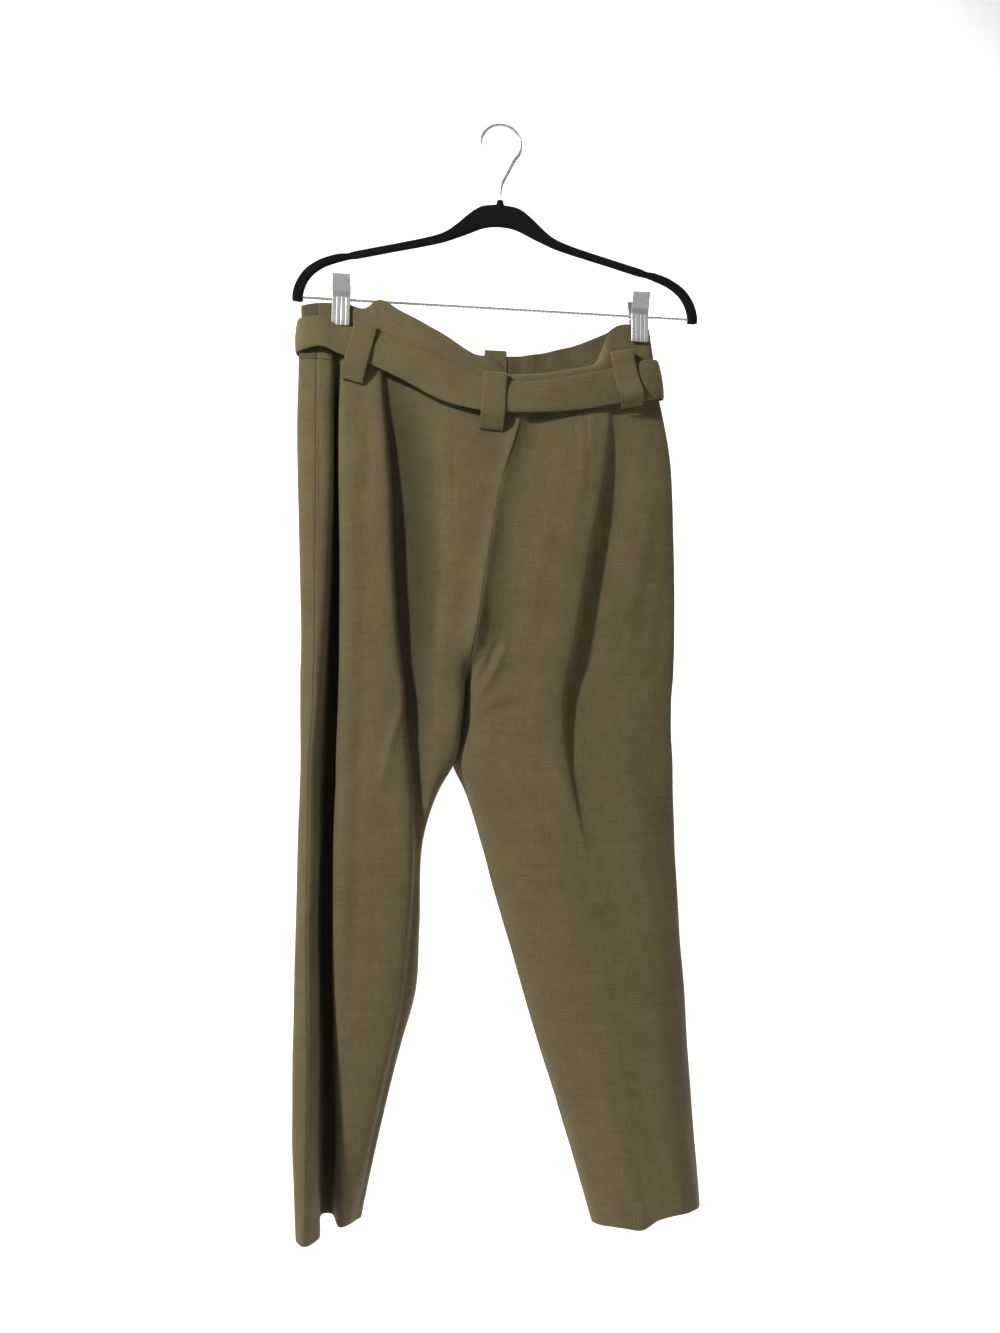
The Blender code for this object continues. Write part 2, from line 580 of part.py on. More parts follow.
def build_loop(name, top, bottom, top_y, bottom_y, width, belt_end, side):
    """A strip that leaves the band above the belt, passes over it and comes back to the cloth below."""
    sign = -1.0 if side == "back" else 1.0
    across = unit(np.array([top[1] - bottom[1], 0.0, bottom[0] - top[0]])) * width / 2
    wall = np.array([0.0, -sign * LOOP_CLOTH, 0.0])
    edge = np.array([0.0, -sign * LOOP_ROUNDING, 0.0])
    rings = []
    for t, rise in zip(LOOP_ROWS + (belt_end, 1.0), LOOP_RISE + (0.0, 0.0)):
        x = top[0] + (bottom[0] - top[0]) * t
        z = top[1] + (bottom[1] - top[1]) * t + rise
        beneath = [sign * belt_face(x + k * across[0], z, side) for k in (-1, 0, 1)]
        y = sign * (max(beneath) + LOOP_STAND_OFF)
        if t == 0.0:
            y = top_y
        if t == 1.0:
            y = bottom_y
        middle = np.array([x, y, z])
        outer = [middle + edge - across, middle, middle + edge + across]
        rings.append(np.array(outer + [point + wall for point in reversed(outer)]))
    return swept_ring(name, rings, "trouser_cloth", closed=False)


def build_shield():
    rings = []
    for z in (SHIELD_TOP, -262.0, -290.0, SHIELD_BOTTOM):
        y = SHIELD_Y
        w = SHIELD_HALF_WIDTH if z < SHIELD_TOP else SHIELD_HALF_WIDTH - 1.0
        rings.append(np.array([(-w, y, z), (w, y, z), (w, y + SHIELD_CLOTH, z), (-w, y + SHIELD_CLOTH, z)]))
    return swept_ring("fly_shield", rings, "trouser_cloth", closed=False)


def bar_section(centre, across, thick, depth):
    """Eight points of a rounded bar: across lies in the hanger's plane."""
    out = []
    for a, b in BAR_CORNERS:
        out.append(centre + across * (a * thick / 2) + np.array([0.0, b * depth / 2, 0.0]))
    return np.array(out)


def build_hanger():
    rings = []
    half = [(np.array([x, 0.0, (top + low) / 2]), top - low) for x, top, low in HUMP]
    half += [(np.array([x, 0.0, z]), thick) for x, z, thick in SHOULDER]
    for k, (centre, thick) in enumerate(half):
        if k < len(HUMP) - 1:
            across = np.array([0.0, 0.0, 1.0])
        else:
            before = half[k - 1][0]
            after = half[min(k + 1, len(half) - 1)][0]
            along = unit(after - before)
            across = np.array([-along[2], 0.0, along[0]])
        rings.append(bar_section(centre, across, thick, HANGER_DEPTH))
    mirrored = [ring * np.array([-1, 1, 1]) for ring in rings[1:]]
    made = swept_ring("hanger", mirrored[::-1] + rings, "hanger_flock", closed=False)
    ends = [(0, 0, COLLAR_BOTTOM), (0, 0, COLLAR_TOP)]
    collar = cylinder("collar_tool", ends[0], ends[1], COLLAR_RADIUS, 16, "hanger_flock")
    combine(made, collar, "UNION")
    ends = [(side * SOCKET_HALF_LENGTH, 0, BAR_HEIGHT) for side in (-1, 1)]
    socket = cylinder("socket_tool", ends[0], ends[1], BAR_RADIUS + SEAM_GAP, 16, "hanger_flock")
    combine(made, socket, "DIFFERENCE")
    return made


def combine(target, tool, how):
    cut = target.modifiers.new("cut", "BOOLEAN")
    cut.operation = how
    cut.solver = "EXACT"
    cut.object = tool
    tool.hide_render = True
    tool.display_type = "WIRE"


def round_point(angle, first, second):
    return math.cos(angle) * first + math.sin(angle) * second


def cylinder(name, start, end, radius, sides, slot):
    start = np.array(start, float)
    end = np.array(end, float)
    along = unit(end - start)
    first = unit(np.cross(along, np.array([0.0, 1.0, 0.0])))
    second = np.cross(along, first)
    rings = []
    for centre in (start, end):
        angles = [2 * math.pi * k / sides for k in range(sides)]
        rings.append(np.array([centre + radius * round_point(a, first, second) for a in angles]))
    return swept_ring(name, rings, slot, closed=False)


def wire(name, path, radius, sides, slot):
    """A round wire along a path in the XZ plane."""
    path = [np.array(p, float) for p in path]
    rings = []
    for k, centre in enumerate(path):
        along = unit(path[min(k + 1, len(path) - 1)] - path[max(k - 1, 0)])
        first = np.array([along[2], 0.0, -along[0]])
        second = np.array([0.0, 1.0, 0.0])
        angles = [2 * math.pi * j / sides for j in range(sides)]
        rings.append(np.array([centre + radius * round_point(a, first, second) for a in angles]))
    return swept_ring(name, rings, slot, closed=False)


def build_hook():
    radius = HOOK_INSIDE + HOOK_WIRE
    centre = -HOOK_INSIDE
    path = [(0, 0, HOOK_STEM_BOTTOM), (0, 0, -76), (1.5, 0, -66), (7, 0, -56)]
    for step in range(19):
        angle = math.radians(-48 + step * 13)
        path.append((radius * math.cos(angle), 0, centre + radius * math.sin(angle)))
    wire("hook", path, HOOK_WIRE, 12, "bright_metal")


def build_bar():
    ends = [(side * BAR_HALF_LENGTH, 0, BAR_HEIGHT) for side in (-1, 1)]
    cylinder("clip_bar", ends[0], ends[1], BAR_RADIUS, 12, "bright_metal")


def build_clip(side, x):
    """Two sprung plates that pinch the cloth under the bar, and the spring round the bar."""
    for face, sign in (("back", -1.0), ("front", 1.0)):
        outer = [np.array([0.0, sign * y, z]) for y, z in CLIP_PLATE]
        profile = []
        for k, point in enumerate(outer):
            along = unit(outer[min(k + 1, len(outer) - 1)] - outer[max(k - 1, 0)])
            inward = np.array([0.0, along[2], -along[1]]) * sign
            profile.append((point, point + inward * CLIP_WALL))
        rings = []
        for point, inner in profile:
            left = np.array([x - CLIP_HALF_WIDTH, 0, 0])
            right = np.array([x + CLIP_HALF_WIDTH, 0, 0])
            rings.append(np.array([point + left, point + right, inner + right, inner + left]))
        swept_ring("clip_" + side + "_" + face, rings, "bright_metal", closed=False)
    bore = SPRING_RADIUS - SPRING_WALL
    angles = [2 * math.pi * k / SPRING_SIDES for k in range(SPRING_SIDES)]
    rings = []
    for radius, end in ((SPRING_RADIUS, -1), (SPRING_RADIUS, 1), (bore, 1), (bore, -1)):
        place = x + end * SPRING_HALF_LENGTH
        ring = [(place, radius * math.cos(a), BAR_HEIGHT + radius * math.sin(a)) for a in angles]
        rings.append(np.array(ring))
    swept_ring("clip_" + side + "_spring", rings, "bright_metal")


clear_scene()
build_legs()
build_band()
build_belt()
for row in LOOPS:
    build_loop(*row)
build_shield()
build_hanger()
build_hook()
build_bar()
for row in CLIPS:
    build_clip(*row)
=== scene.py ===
"""Looks of the paperbag waist trousers on a clip hanger: cloth shells, seams, weave, flock and plating."""

import math

import bpy
import numpy as np
from mathutils import Matrix, Vector


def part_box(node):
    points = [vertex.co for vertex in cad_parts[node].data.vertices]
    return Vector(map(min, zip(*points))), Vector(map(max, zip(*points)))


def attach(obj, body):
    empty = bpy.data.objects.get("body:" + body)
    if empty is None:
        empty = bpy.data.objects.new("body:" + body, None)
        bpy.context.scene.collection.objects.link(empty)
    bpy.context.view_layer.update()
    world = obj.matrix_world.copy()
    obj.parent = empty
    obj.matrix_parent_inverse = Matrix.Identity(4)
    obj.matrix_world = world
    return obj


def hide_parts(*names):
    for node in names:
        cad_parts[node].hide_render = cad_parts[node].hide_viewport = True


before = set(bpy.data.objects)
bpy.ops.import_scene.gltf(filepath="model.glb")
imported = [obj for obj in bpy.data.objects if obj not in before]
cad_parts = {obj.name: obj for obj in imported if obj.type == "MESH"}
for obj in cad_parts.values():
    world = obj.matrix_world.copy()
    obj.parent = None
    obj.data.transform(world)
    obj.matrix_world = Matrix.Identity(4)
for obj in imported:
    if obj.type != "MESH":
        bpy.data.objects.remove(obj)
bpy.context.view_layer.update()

MM = 0.001

# Sizes in millimetres. Heights are below the inside top of the hanger hook.
WALL = 1.0
BAND_WALL = 1.2
SEAM_GAP = 0.03
WAIST_TOP = -285.0
LEVEL_BY = -470.0
CROTCH = -618.0
HEM = -1182.0
FRONT_BULGE = 4.0
COLUMN_STEP = 2.4
ROW_STEP = 4.0
LEVEL_STEP = 3.0
TOP_LEVEL = -270.0
# The heights at which a leg is measured round to spread its columns.
SPREAD_HEIGHTS = (-320, -560, -760, -960, -1140)
# A distance that stands for no seam or sewn line nearby.
FAR = 99.0

# Each line runs down the leg along a seam, fold or crease. Columns are its x, then its y, at these heights.
HEIGHTS = (-285, -330, -400, -500, -590, CROTCH, -660, -705, -735, -780, -880, -945, -1000, -1100, HEM)
LEFT_LINES = (
    ("inseam", (24, 24, 6, -11, -24, -28, -36, -45, -58, -73, -76, -79, -89, -112, -129),
     (-12, -13, -14, -16, -9, 16, 20, 26, 29, 33, 36, 39, 42, 50, 57)),
    ("inner", (8, 8, -10, -26, -36, -33, -36, -40, -55, -69, -72, -75, -88, -110, -125),
     (-11, -12, -14, -15, -13, -7, -8, 3, 9, 18, 20, 23, 27, 36, 46)),
    ("seat", (-48, -49, -49, -48, -54, -55, -55, -57, -62, -71, -75, -80, -91, -112, -127),
     (-11, -12, -13, -13, -12, -11, -10, -6, -2, 8, 8, 11, 16, 27, 42)),
    ("soft_floor", (-123, -119, -112, -105, -97, -93, -89, -83, -80, -79, -82, -88, -97, -116, -130),
     (-3, -2, -1, 0, 0, 0, 0, 1, 2, 3, 3, 6, 11, 24, 38)),
    ("soft_edge", (-127, -124, -117, -110, -102, -98, -95, -90, -87, -84, -87, -93, -102, -120, -133),
     (-8, -11, -14, -16, -16, -16, -15, -14, -13, -10, -5, -1, 4, 18, 33)),
    ("ridge", (-146, -144, -138, -135, -131, -130, -128, -127, -125, -122, -118, -119, -122, -131, -139),
     (-9, -12, -15, -17, -17, -17, -16, -15, -15, -13, -8, -4, 0, 12, 25)),
    ("deep_edge", (-168, -168, -166, -162, -160, -160, -160, -160, -160, -161, -159, -156, -153, -149, -147),
     (-8, -10, -12, -13, -13, -13, -12, -11, -11, -10, -6, -2, 2, 12, 20)),
    ("deep_floor", (-171, -171, -169, -167, -165, -165, -165, -166, -166, -167, -165, -162, -160, -157, -158),
     (3, 14, 24, 30, 35, 36, 38, 39, 41, 43, 47, 50, 52, 57, 59)),
    ("deep_back", (-175, -175, -174, -172, -172, -172, -173, -174, -174, -174, -173, -170, -168, -166, -166),
     (2, 13, 23, 29, 34, 35, 37, 38, 40, 42, 46, 49, 51, 56, 58)),
    ("lobe_edge", (-179, -178, -177, -177, -178, -179, -181, -183, -183, -182, -181, -178, -176, -173, -167),
     (-7, -10, -14, -16, -16, -16, -16, -16, -16, -16, -17, -17, -16, -12, -6)),
    ("side", (-195, -194, -192, -190, -188, -188, -188, -190, -190, -189, -188, -185, -183, -181, -180),
     (-9, -13, -17, -20, -21, -21, -21, -21, -21, -21, -23, -24, -25, -26, -27)),
    ("outer", (-214, -213, -211, -206, -202, -201, -200, -199, -199, -199, -199, -198, -197, -194, -190),
     (-3, -5, -8, -10, -10, -10, -10, -10, -10, -10, -12, -14, -15, -16, -14)),
    ("front_side", (-210, -209, -207, -203, -199, -198, -197, -196, -196, -196, -196, -195, -194, -191, -187),
     (8, 10, 12, 14, 16, 17, 18, 19, 21, 22, 24, 24, 24, 24, 22)),
    ("front_far", (-200, -200, -199, -196, -193, -192, -191, -190, -190, -190, -189, -188, -187, -185, -183),
     (16, 24, 34, 41, 46, 48, 50, 52, 53, 54, 56, 57, 58, 60, 60)),
)
RIGHT_LINES = (
    ("inseam", (24, 24, 6, -11, -24, -28, -33, -40, -26, -11, 19, 38, 55, 88, 114),
     (-12, -13, -14, -16, -9, 16, 20, 24, 24, 20, 16, 14, 13, 11, 9)),
    ("inner", (40, 38, 22, 4, -8, -20, -23, -28, -16, -2, 29, 48, 64, 96, 121),
     (-9, -10, -12, -13, -10, -4, 0, 2, 3, 4, 3, 2, 1, 0, -1)),
    ("seat", (82, 78, 66, 48, 34, 28, 26, 28, 34, 44, 66, 81, 94, 120, 139),
     (-10, -12, -14, -16, -15, -14, -12, -10, -9, -9, -9, -9, -9, -10, -11)),
    ("fold_edge", (123, 121, 115, 97, 83, 76, 74, 79, 85, 95, 112, 124, 134, 150, 161),
     (-6, -8, -11, -13, -13, -13, -12, -11, -10.5, -9.5, -10.5, -11.5, -12.5, -13.5, -14)),
    ("fold_foot", (127, 126, 120, 103, 89, 82, 79, 84, 90, 99, 117, 129, 139, 156, 167),
     (-6, -4, 0, 2, 2, 1, -1, -4, -6, -8, -10.5, -11, -12, -13, -13.5)),
    ("fold_floor", (135, 135, 135, 123, 106, 99, 94, 97, 102, 110, 128, 139, 148, 165, 177),
     (-5, -2.5, 2, 4, 4, 3, 1, -2, -4, -7, -9.5, -10.5, -11.5, -12.5, -13)),
    ("tube", (157, 161, 167, 166, 160, 158, 157, 159, 161, 165, 175, 182, 189, 201, 209),
     (-2, 0, 2.5, 5, 6, 6, 4, 2, 0, -2, -5, -6, -7, -9, -10)),
    ("outer", (178, 188, 197, 202, 201, 200, 199, 200, 200, 202, 208, 213, 217, 225, 233),
     (6, 8, 12, 15, 17, 18, 18, 17, 16, 16, 17, 18, 19, 20, 20)),
    ("side", (176, 186, 195, 200, 199, 198, 197, 198, 198, 200, 206, 211, 215, 222, 229),
     (13, 17, 22, 26, 29, 30, 31, 31, 33, 35, 39, 41, 43, 46, 46)),
)
# Depth of the front layer at the same heights, then its three lines: share of the way in, pull, bulge.
FRONT_DEPTH = {
    "left": (20, 30, 44, 53, 60, 61, 63, 65, 67, 68, 70, 71, 72, 76, 80),
    "right": (22, 28, 34, 40, 44, 45, 46, 47, 48, 50, 55, 58, 60, 66, 70),
}
FRONT_LINES = (
    ("front_outer", 0.2, 0.0, 0.0),
    ("front_crease", 0.5, 0.0, 1.0),
    ("front_inner", 0.8, 0.3, 0.0),
)
LEG_LINES = {"left": LEFT_LINES, "right": RIGHT_LINES}
CENTRE_FRONT = ((0, 0, -4, -10, -24, -28), (28, 32, 40, 46, 36, 16))

# How far the right leg's hem rises above HEM at x.
HEM_RISE = ((100, 3), (140, 3), (162, 1), (180, 10), (205, 15), (240, 12))
HEM_FROM = -1040.0

# Heights across the waist, by x: the waist seam, the line under the frill and the frill's top edge.
BACK_WAIST = (
    (-216, -279), (-179, -280), (-143, -279), (-128, -284), (-85, -303), (-42, -322),
    (0, -327), (44, -325), (88, -318), (131, -308), (161, -300), (182, -296),
)
BACK_LINE = (
    (-214, -232), (-172, -236), (-143, -240), (-107, -254), (-64, -273), (-26, -291),
    (6, -295), (44, -293), (89, -283), (129, -272), (176, -258),
)
BACK_TOP = (
    (-216, -219), (-181, -215), (-162, -216), (-146, -219), (-131, -210), (-108, -221), (-64, -244),
    (-19, -270), (0, -273), (40, -268), (89, -250), (118, -234), (130, -224), (150, -220), (168, -223),
)
FRONT_WAIST = ((-210, -279), (-150, -288), (-100, -308), (0, -324), (95, -309), (178, -296))
FRONT_LINE = (
    (-210, -233), (-172, -236), (-131, -252), (-86, -268), (-43, -278), (0, -282),
    (51, -277), (95, -265), (130, -252), (174, -258),
)
FRONT_TOP = (
    (-212, -220), (-160, -217), (-131, -226), (-86, -241), (-43, -250), (0, -253.5),
    (51, -249), (95, -237), (126, -223), (156, -219), (168, -223),
)

# Where each line stands at the frill line and at the frill top: x, y, then x, y.
BAND_LEFT = (
    ("inseam", 1, -13, 0, -13), ("inner", -14, -14, -13, -14), ("seat", -50, -12, -50, -13),
    ("soft_floor", -118, -8, -119, -8), ("soft_edge", -127, -7, -130, -6), ("ridge", -146, -5, -146, -3.5),
    ("deep_edge", -164, -4, -163, -3), ("deep_floor", -170, -4, -170, -3), ("deep_back", -175, -4, -175, -3),
    ("lobe_edge", -181, -4, -182, -3), ("side", -195, -5, -196, -4), ("outer", -212.5, -1, -213.5, -0.5),
    ("front_side", -211.5, 6, -212.5, 6.3), ("front_far", -190, 6, -190, 5.5),
    ("front_outer", -160, 4.4, -160, 4), ("front_crease", -105, 16, -105, 16),
    ("front_inner", -40, 26, -40, 26), ("centre_front", 0, 29, 0, 29),
)
BAND_RIGHT = (
    ("inseam", 1, -13, 0, -13), ("inner", 14, -14, 14, -14), ("seat", 60, -14, 60, -14),
    ("fold_edge", 110, -9, 110, -9), ("fold_foot", 118, -8.4, 118, -8),
    ("fold_floor", 128, -7, 128, -6), ("tube", 150, -4, 152, -3),
    ("outer", 172.5, -2.2, 167, -2.2), ("side", 173.5, 4.6, 168, 4.6),
    ("front_outer", 144, 4.6, 144, 4.2), ("front_crease", 95, 16, 95, 16),
    ("front_inner", 45, 24, 45, 24), ("centre_front", 0, 29, 0, 29),
)
BAND_LINES = {"left": BAND_LEFT, "right": BAND_RIGHT}
FRILL_ROWS = (0.28, 0.5, 0.72, 1.0)
# The frill's right back half leans over to the inside: y and z of each frill row from the frill line.
ROLLED = ((2.0, 7.5), (6.5, 10.0), (11.5, 9.5), (17.0, 6.5))
ROLL_FROM, ROLL_FULL, ROLL_FADE, ROLL_TO = 2.0, 12.0, 102.0, 124.0
PLEATS = (-112, -84, 66, 94)
PLEAT_HALF_WIDTH = 9.0
PLEAT_DEPTH = 5.0
PLEAT_ENDS = -400.0

# The belt all round, from the left end along the back: x at top and bottom, top, bottom, y at top and bottom.
BELT = (
    (-217, -218, -234, -272, 2, 1), (-211, -211, -233, -271, -7, -10), (-190, -190, -233, -268, -10, -17),
    (-172, -172, -242, -275, -10.5, -17), (-143, -143, -243, -283, -10.5, -16),
    (-106, -106, -255, -299, -13, -17), (-63, -63, -274, -321, -16.5, -20),
    (-21, -21, -292, -331, -18.5, -23), (6, 6, -296, -332, -18.5, -23),
    (44, 44, -294, -330, -18.5, -22), (88, 88, -284, -324, -16, -19), (131, 131, -272, -314, -12, -15),
    (161, 163, -262, -308, -10, -12), (176.5, 183, -259, -302, -4.5, -3), (179.5, 187, -258, -300, 9, 11),
    (168, 176, -257, -299, 15, 20), (140, 144, -256, -298, 19, 28), (95, 95, -267, -309, 26, 36),
    (50, 50, -279, -321, 34, 40), (0, 0, -284, -326, 38, 41), (-50, -50, -280, -322, 34, 41),
    (-100, -100, -266, -308, 26, 37), (-150, -150, -246, -288, 18, 30), (-190, -190, -238, -280, 14, 22),
    (-210, -210, -235, -275, 11, 15),
)
# Rows of the table that lie on the back, and on the front from its right end to its left.
BELT_BACK = slice(1, 14)
BELT_FRONT = slice(15, 25)

# Belt loops: x and height of each end, y of each end, width, and where the belt ends along the loop.
LOOPS = (
    ("loop_back_left", (-144, -243), (-158, -303), -8.8, -14.0, 25, 0.66, "back"),
    ("loop_back_centre", (-5, -291), (-8, -350), -17.2, -16.0, 26, 0.72, "back"),
    ("loop_back_right", (134, -257.5), (147, -316), -10.8, -11.0, 26, 0.93, "back"),
    ("loop_front_left", (-98, -264), (-98, -322), 24.5, 41.5, 26, 0.8, "front"),
    ("loop_front_right", (88, -266), (88, -322), 24.0, 38.5, 26, 0.8, "front"),
)
LOOP_STAND_OFF = 3.7
LOOP_ROWS = (0.0, 0.001, 0.25, 0.5)
LOOP_RISE = (4.6, 1.6, 0.0, 0.0)


def slopes(places, values):
    """Tangents of a smooth curve through values given at rising places."""
    steps = np.diff(places)
    rises = np.diff(values, axis=0) / steps[:, None]
    out = np.empty_like(values)
    out[0], out[-1] = rises[0], rises[-1]
    mixed = rises[:-1] * steps[1:, None] + rises[1:] * steps[:-1, None]
    out[1:-1] = mixed / (steps[1:] + steps[:-1])[:, None]
    return out


def through(places, values, at):
    """The smooth curve through places and values, read at each of at. Beyond the ends it runs on straight."""
    places = np.asarray(places, float)
    values = np.asarray(values, float)
    if places[0] > places[-1]:
        places, values = places[::-1], values[::-1]
    tangents = slopes(places, values)
    at = np.asarray(at, float)
    k = np.clip(np.searchsorted(places, at) - 1, 0, len(places) - 2)
    step = places[k + 1] - places[k]
    t = (at - places[k]) / step
    inside = np.clip(t, 0.0, 1.0)[:, None]
    h = step[:, None]
    a = (1 + 2 * inside) * (1 - inside) ** 2 * values[k] + inside * (1 - inside) ** 2 * h * tangents[k]
    b = inside**2 * (3 - 2 * inside) * values[k + 1] + inside**2 * (inside - 1) * h * tangents[k + 1]
    beyond = (t - np.clip(t, 0.0, 1.0))[:, None] * h
    ends = np.where((t > 1)[:, None], tangents[k + 1], tangents[k])
    return a + b + beyond * ends


def height_at(table, x):
    rows = np.array(table, float)
    return through(rows[:, 0], rows[:, 1:2], np.atleast_1d(x))[:, 0]


def around(stations, u):
    """Points at each u along a smooth curve through the stations, where u counts stations."""
    stations = np.asarray(stations, float)
    chords = np.maximum(np.linalg.norm(np.diff(stations, axis=0), axis=1), 1e-6) ** 0.5
    places = np.concatenate([[0.0], np.cumsum(chords)])
    u = np.asarray(u, float)
    k = np.clip(np.floor(u).astype(int), 0, len(stations) - 2)
    return through(places, stations, places[k] + (u - k) * chords[k])


def smooth_step(low, high, value):
    t = np.clip((value - low) / (high - low), 0.0, 1.0)
    return t * t * (3 - 2 * t)


def hump(gap, width):
    """1 where gap is zero, falling away over width."""
    return np.exp(-((gap / width) ** 2))


def run_along(points, axis=0):
    """How far each point lies along its row of points, from 0."""
    steps = np.linalg.norm(np.diff(points, axis=axis), axis=-1)
    return np.concatenate([np.zeros_like(steps.take([0], axis)), np.cumsum(steps, axis=axis)], axis=axis)


def section(half, height):
    """The stations of one half at a height, from the centre back or inseam round to the front."""
    lines = LEG_LINES[half]
    at = np.array([height])
    found = [through(HEIGHTS, np.array([xs, ys]).T, at)[0] for _, xs, ys in lines]
    depth = through(HEIGHTS, np.array([FRONT_DEPTH[half]]).T, at)[0, 0]
    names = [name for name, _, _ in lines]
    outer = found[names.index("outer")]
    if height >= CROTCH:
        end = through(HEIGHTS[: len(CENTRE_FRONT[0])], np.array(CENTRE_FRONT).T, at)[0]
    else:
        end = found[0]
    for _, share, pull, bulge in FRONT_LINES:
        x = outer[0] + share * (end[0] - outer[0])
        y = (1 - pull) * (depth + bulge * FRONT_BULGE) + pull * end[1]
        found.append(np.array([x, y]))
    found.append(end)
    return np.array(found)


def side_index(half):
    return [name for name, _, _ in LEG_LINES[half]].index("side")


def station_count(half):
    return len(LEG_LINES[half]) + len(FRONT_LINES) + 1


def pleat_relief(x, height):
    """How far the front's pleats fall in at x, fading down the leg."""
    fade = np.clip((height - PLEAT_ENDS) / (WAIST_TOP - PLEAT_ENDS), 0.0, 1.0)
    fall = sum(hump(x - place, PLEAT_HALF_WIDTH) for place in PLEATS)
    return PLEAT_DEPTH * fade * fall


def band_stations(half, column):
    return np.array([row[1 + column : 3 + column] for row in BAND_LINES[half]], float)


def edge_height(back, front, x, share):
    """Height of an edge at x: the back's table, turning into the front's as share goes from 0 to 1."""
    return height_at(back, x) * (1 - share) + height_at(front, x) * share


def hem_rise(half, nominal, x):
    """How far the cloth is lifted at x, from nothing at HEM_FROM to the hem's rise at HEM."""
    share = np.clip((HEM_FROM - nominal) / (HEM_FROM - HEM), 0.0, 1.0)
    return share * height_at(HEM_RISE, x) if half == "right" else 0.0 * x


def facing(grid, flip):
    """Area-weighted normals at the points of a grid."""
    out = np.zeros_like(grid)
    cross = np.cross(grid[1:, 1:] - grid[:-1, :-1], grid[1:, :-1] - grid[:-1, 1:])
    cross = -cross if flip else cross
    out[:-1, :-1] += cross
    out[:-1, 1:] += cross
    out[1:, 1:] += cross
    out[1:, :-1] += cross
    return out


def unit(vectors):
    return vectors / np.maximum(np.linalg.norm(vectors, axis=-1, keepdims=True), 1e-9)


def uneven(a, b, seed, waves=7):
    """Smooth unevenness of about -1 to 1 over a plane, one wave per unit."""
    maker = np.random.RandomState(seed)
    total = 0.0
    for _ in range(waves):
        angle = maker.uniform(0, 2 * math.pi)
        pitch = maker.uniform(0.6, 1.5)
        phase = maker.uniform(0, 2 * math.pi)
        total = total + np.sin(2 * math.pi * pitch * (a * math.cos(angle) + b * math.sin(angle)) + phase)
    return total / math.sqrt(waves) * 0.8


# ---- camera and surroundings ----

# The camera in metres, and how far it is swung to the right, tipped up and rolled, in degrees.
CAMERA_PLACE = (-0.1277, -1.2215, -0.7151)
CAMERA_TURNS = (6.3, 5.2, 0.815)
CAMERA_LENS = 31.25

# The paper sweep: its turn's start and radius, its ends, half its width and how far it hangs down.
TURN_FROM, TURN_RADIUS = 2.0, 0.9
SWEEP_NEAR, SWEEP_TOP = -6.0, 4.0
SWEEP_SIDE = 8.0
SWEEP_DROP = 0.85

WHITE = (1.0, 1.0, 1.0)
LAMP_PLACE = (-1.9, -1.7, 0.7)
LAMP_AIM = (-0.08, 0.0, -0.6)
# Soft lights: name, place, aim, size, power and colour.
SOFT_LIGHTS = (
    ("fill", (0.2, -2.7, 0.9), (0.1, 0, -0.5), (2.4, 1.0), 2, (1.0, 0.95, 0.86)),
    ("backdrop_top", (0.4, 1.3, 2.3), (0.5, 2.9, 1.2), (2.4, 0.8), 48, WHITE),
    ("backdrop_left", (-1.9, 1.0, 1.3), (-0.6, 2.9, -0.9), (1.2, 1.2), 52, WHITE),
    ("backdrop_right", (1.9, 1.0, 1.3), (0.6, 2.9, -0.9), (1.2, 1.2), 52, WHITE),
)


def place_camera():
    """Level with the thighs, a little to the left, tipped up and slightly rolled."""
    swing, tip, roll = (math.radians(v) for v in CAMERA_TURNS)
    ahead = np.array([math.sin(swing) * math.cos(tip), math.cos(swing) * math.cos(tip), math.sin(tip)])
    level = np.array([math.cos(swing), -math.sin(swing), 0.0])
    above = np.cross(level, ahead)
    right = level * math.cos(roll) + above * math.sin(roll)
    top = above * math.cos(roll) - level * math.sin(roll)
    data = bpy.data.cameras.new("camera")
    data.lens = CAMERA_LENS
    data.sensor_width = 36.0
    data.clip_end = 50.0
    camera = bpy.data.objects.new("camera", data)
    turn = Matrix([[right[k], top[k], -ahead[k]] for k in range(3)])
    camera.matrix_world = Matrix.Translation(CAMERA_PLACE) @ turn.to_4x4()
    bpy.context.scene.collection.objects.link(camera)
    bpy.context.scene.camera = camera


def place_light(data, place, aim):
    lamp = bpy.data.objects.new(data.name, data)
    lamp.location = place
    lamp.rotation_euler = (Vector(aim) - Vector(place)).to_track_quat("-Z", "Y").to_euler()
    bpy.context.scene.collection.objects.link(lamp)


def build_sweep():
    """Floor and backdrop in one sweep of pale paper."""
    angles = np.linspace(0, math.pi / 2, 16)
    turn = [(TURN_FROM + TURN_RADIUS * math.sin(a), -TURN_RADIUS * math.cos(a)) for a in angles]
    profile = [(SWEEP_NEAR, -TURN_RADIUS), *turn, (TURN_FROM + TURN_RADIUS, SWEEP_TOP)]
    points = [(x, y, z - SWEEP_DROP) for x in (-SWEEP_SIDE, SWEEP_SIDE) for y, z in profile]
    count = len(profile)
    faces = [(k, count + k, count + k + 1, k + 1) for k in range(count - 1)]
    mesh = bpy.data.meshes.new("floor_sweep")
    mesh.from_pydata(points, [], faces)
    mesh.polygons.foreach_set("use_smooth", [True] * len(mesh.polygons))
    sweep = bpy.data.objects.new("floor_sweep", mesh)
    bpy.context.scene.collection.objects.link(sweep)
    mesh.materials.append(studio_paper())


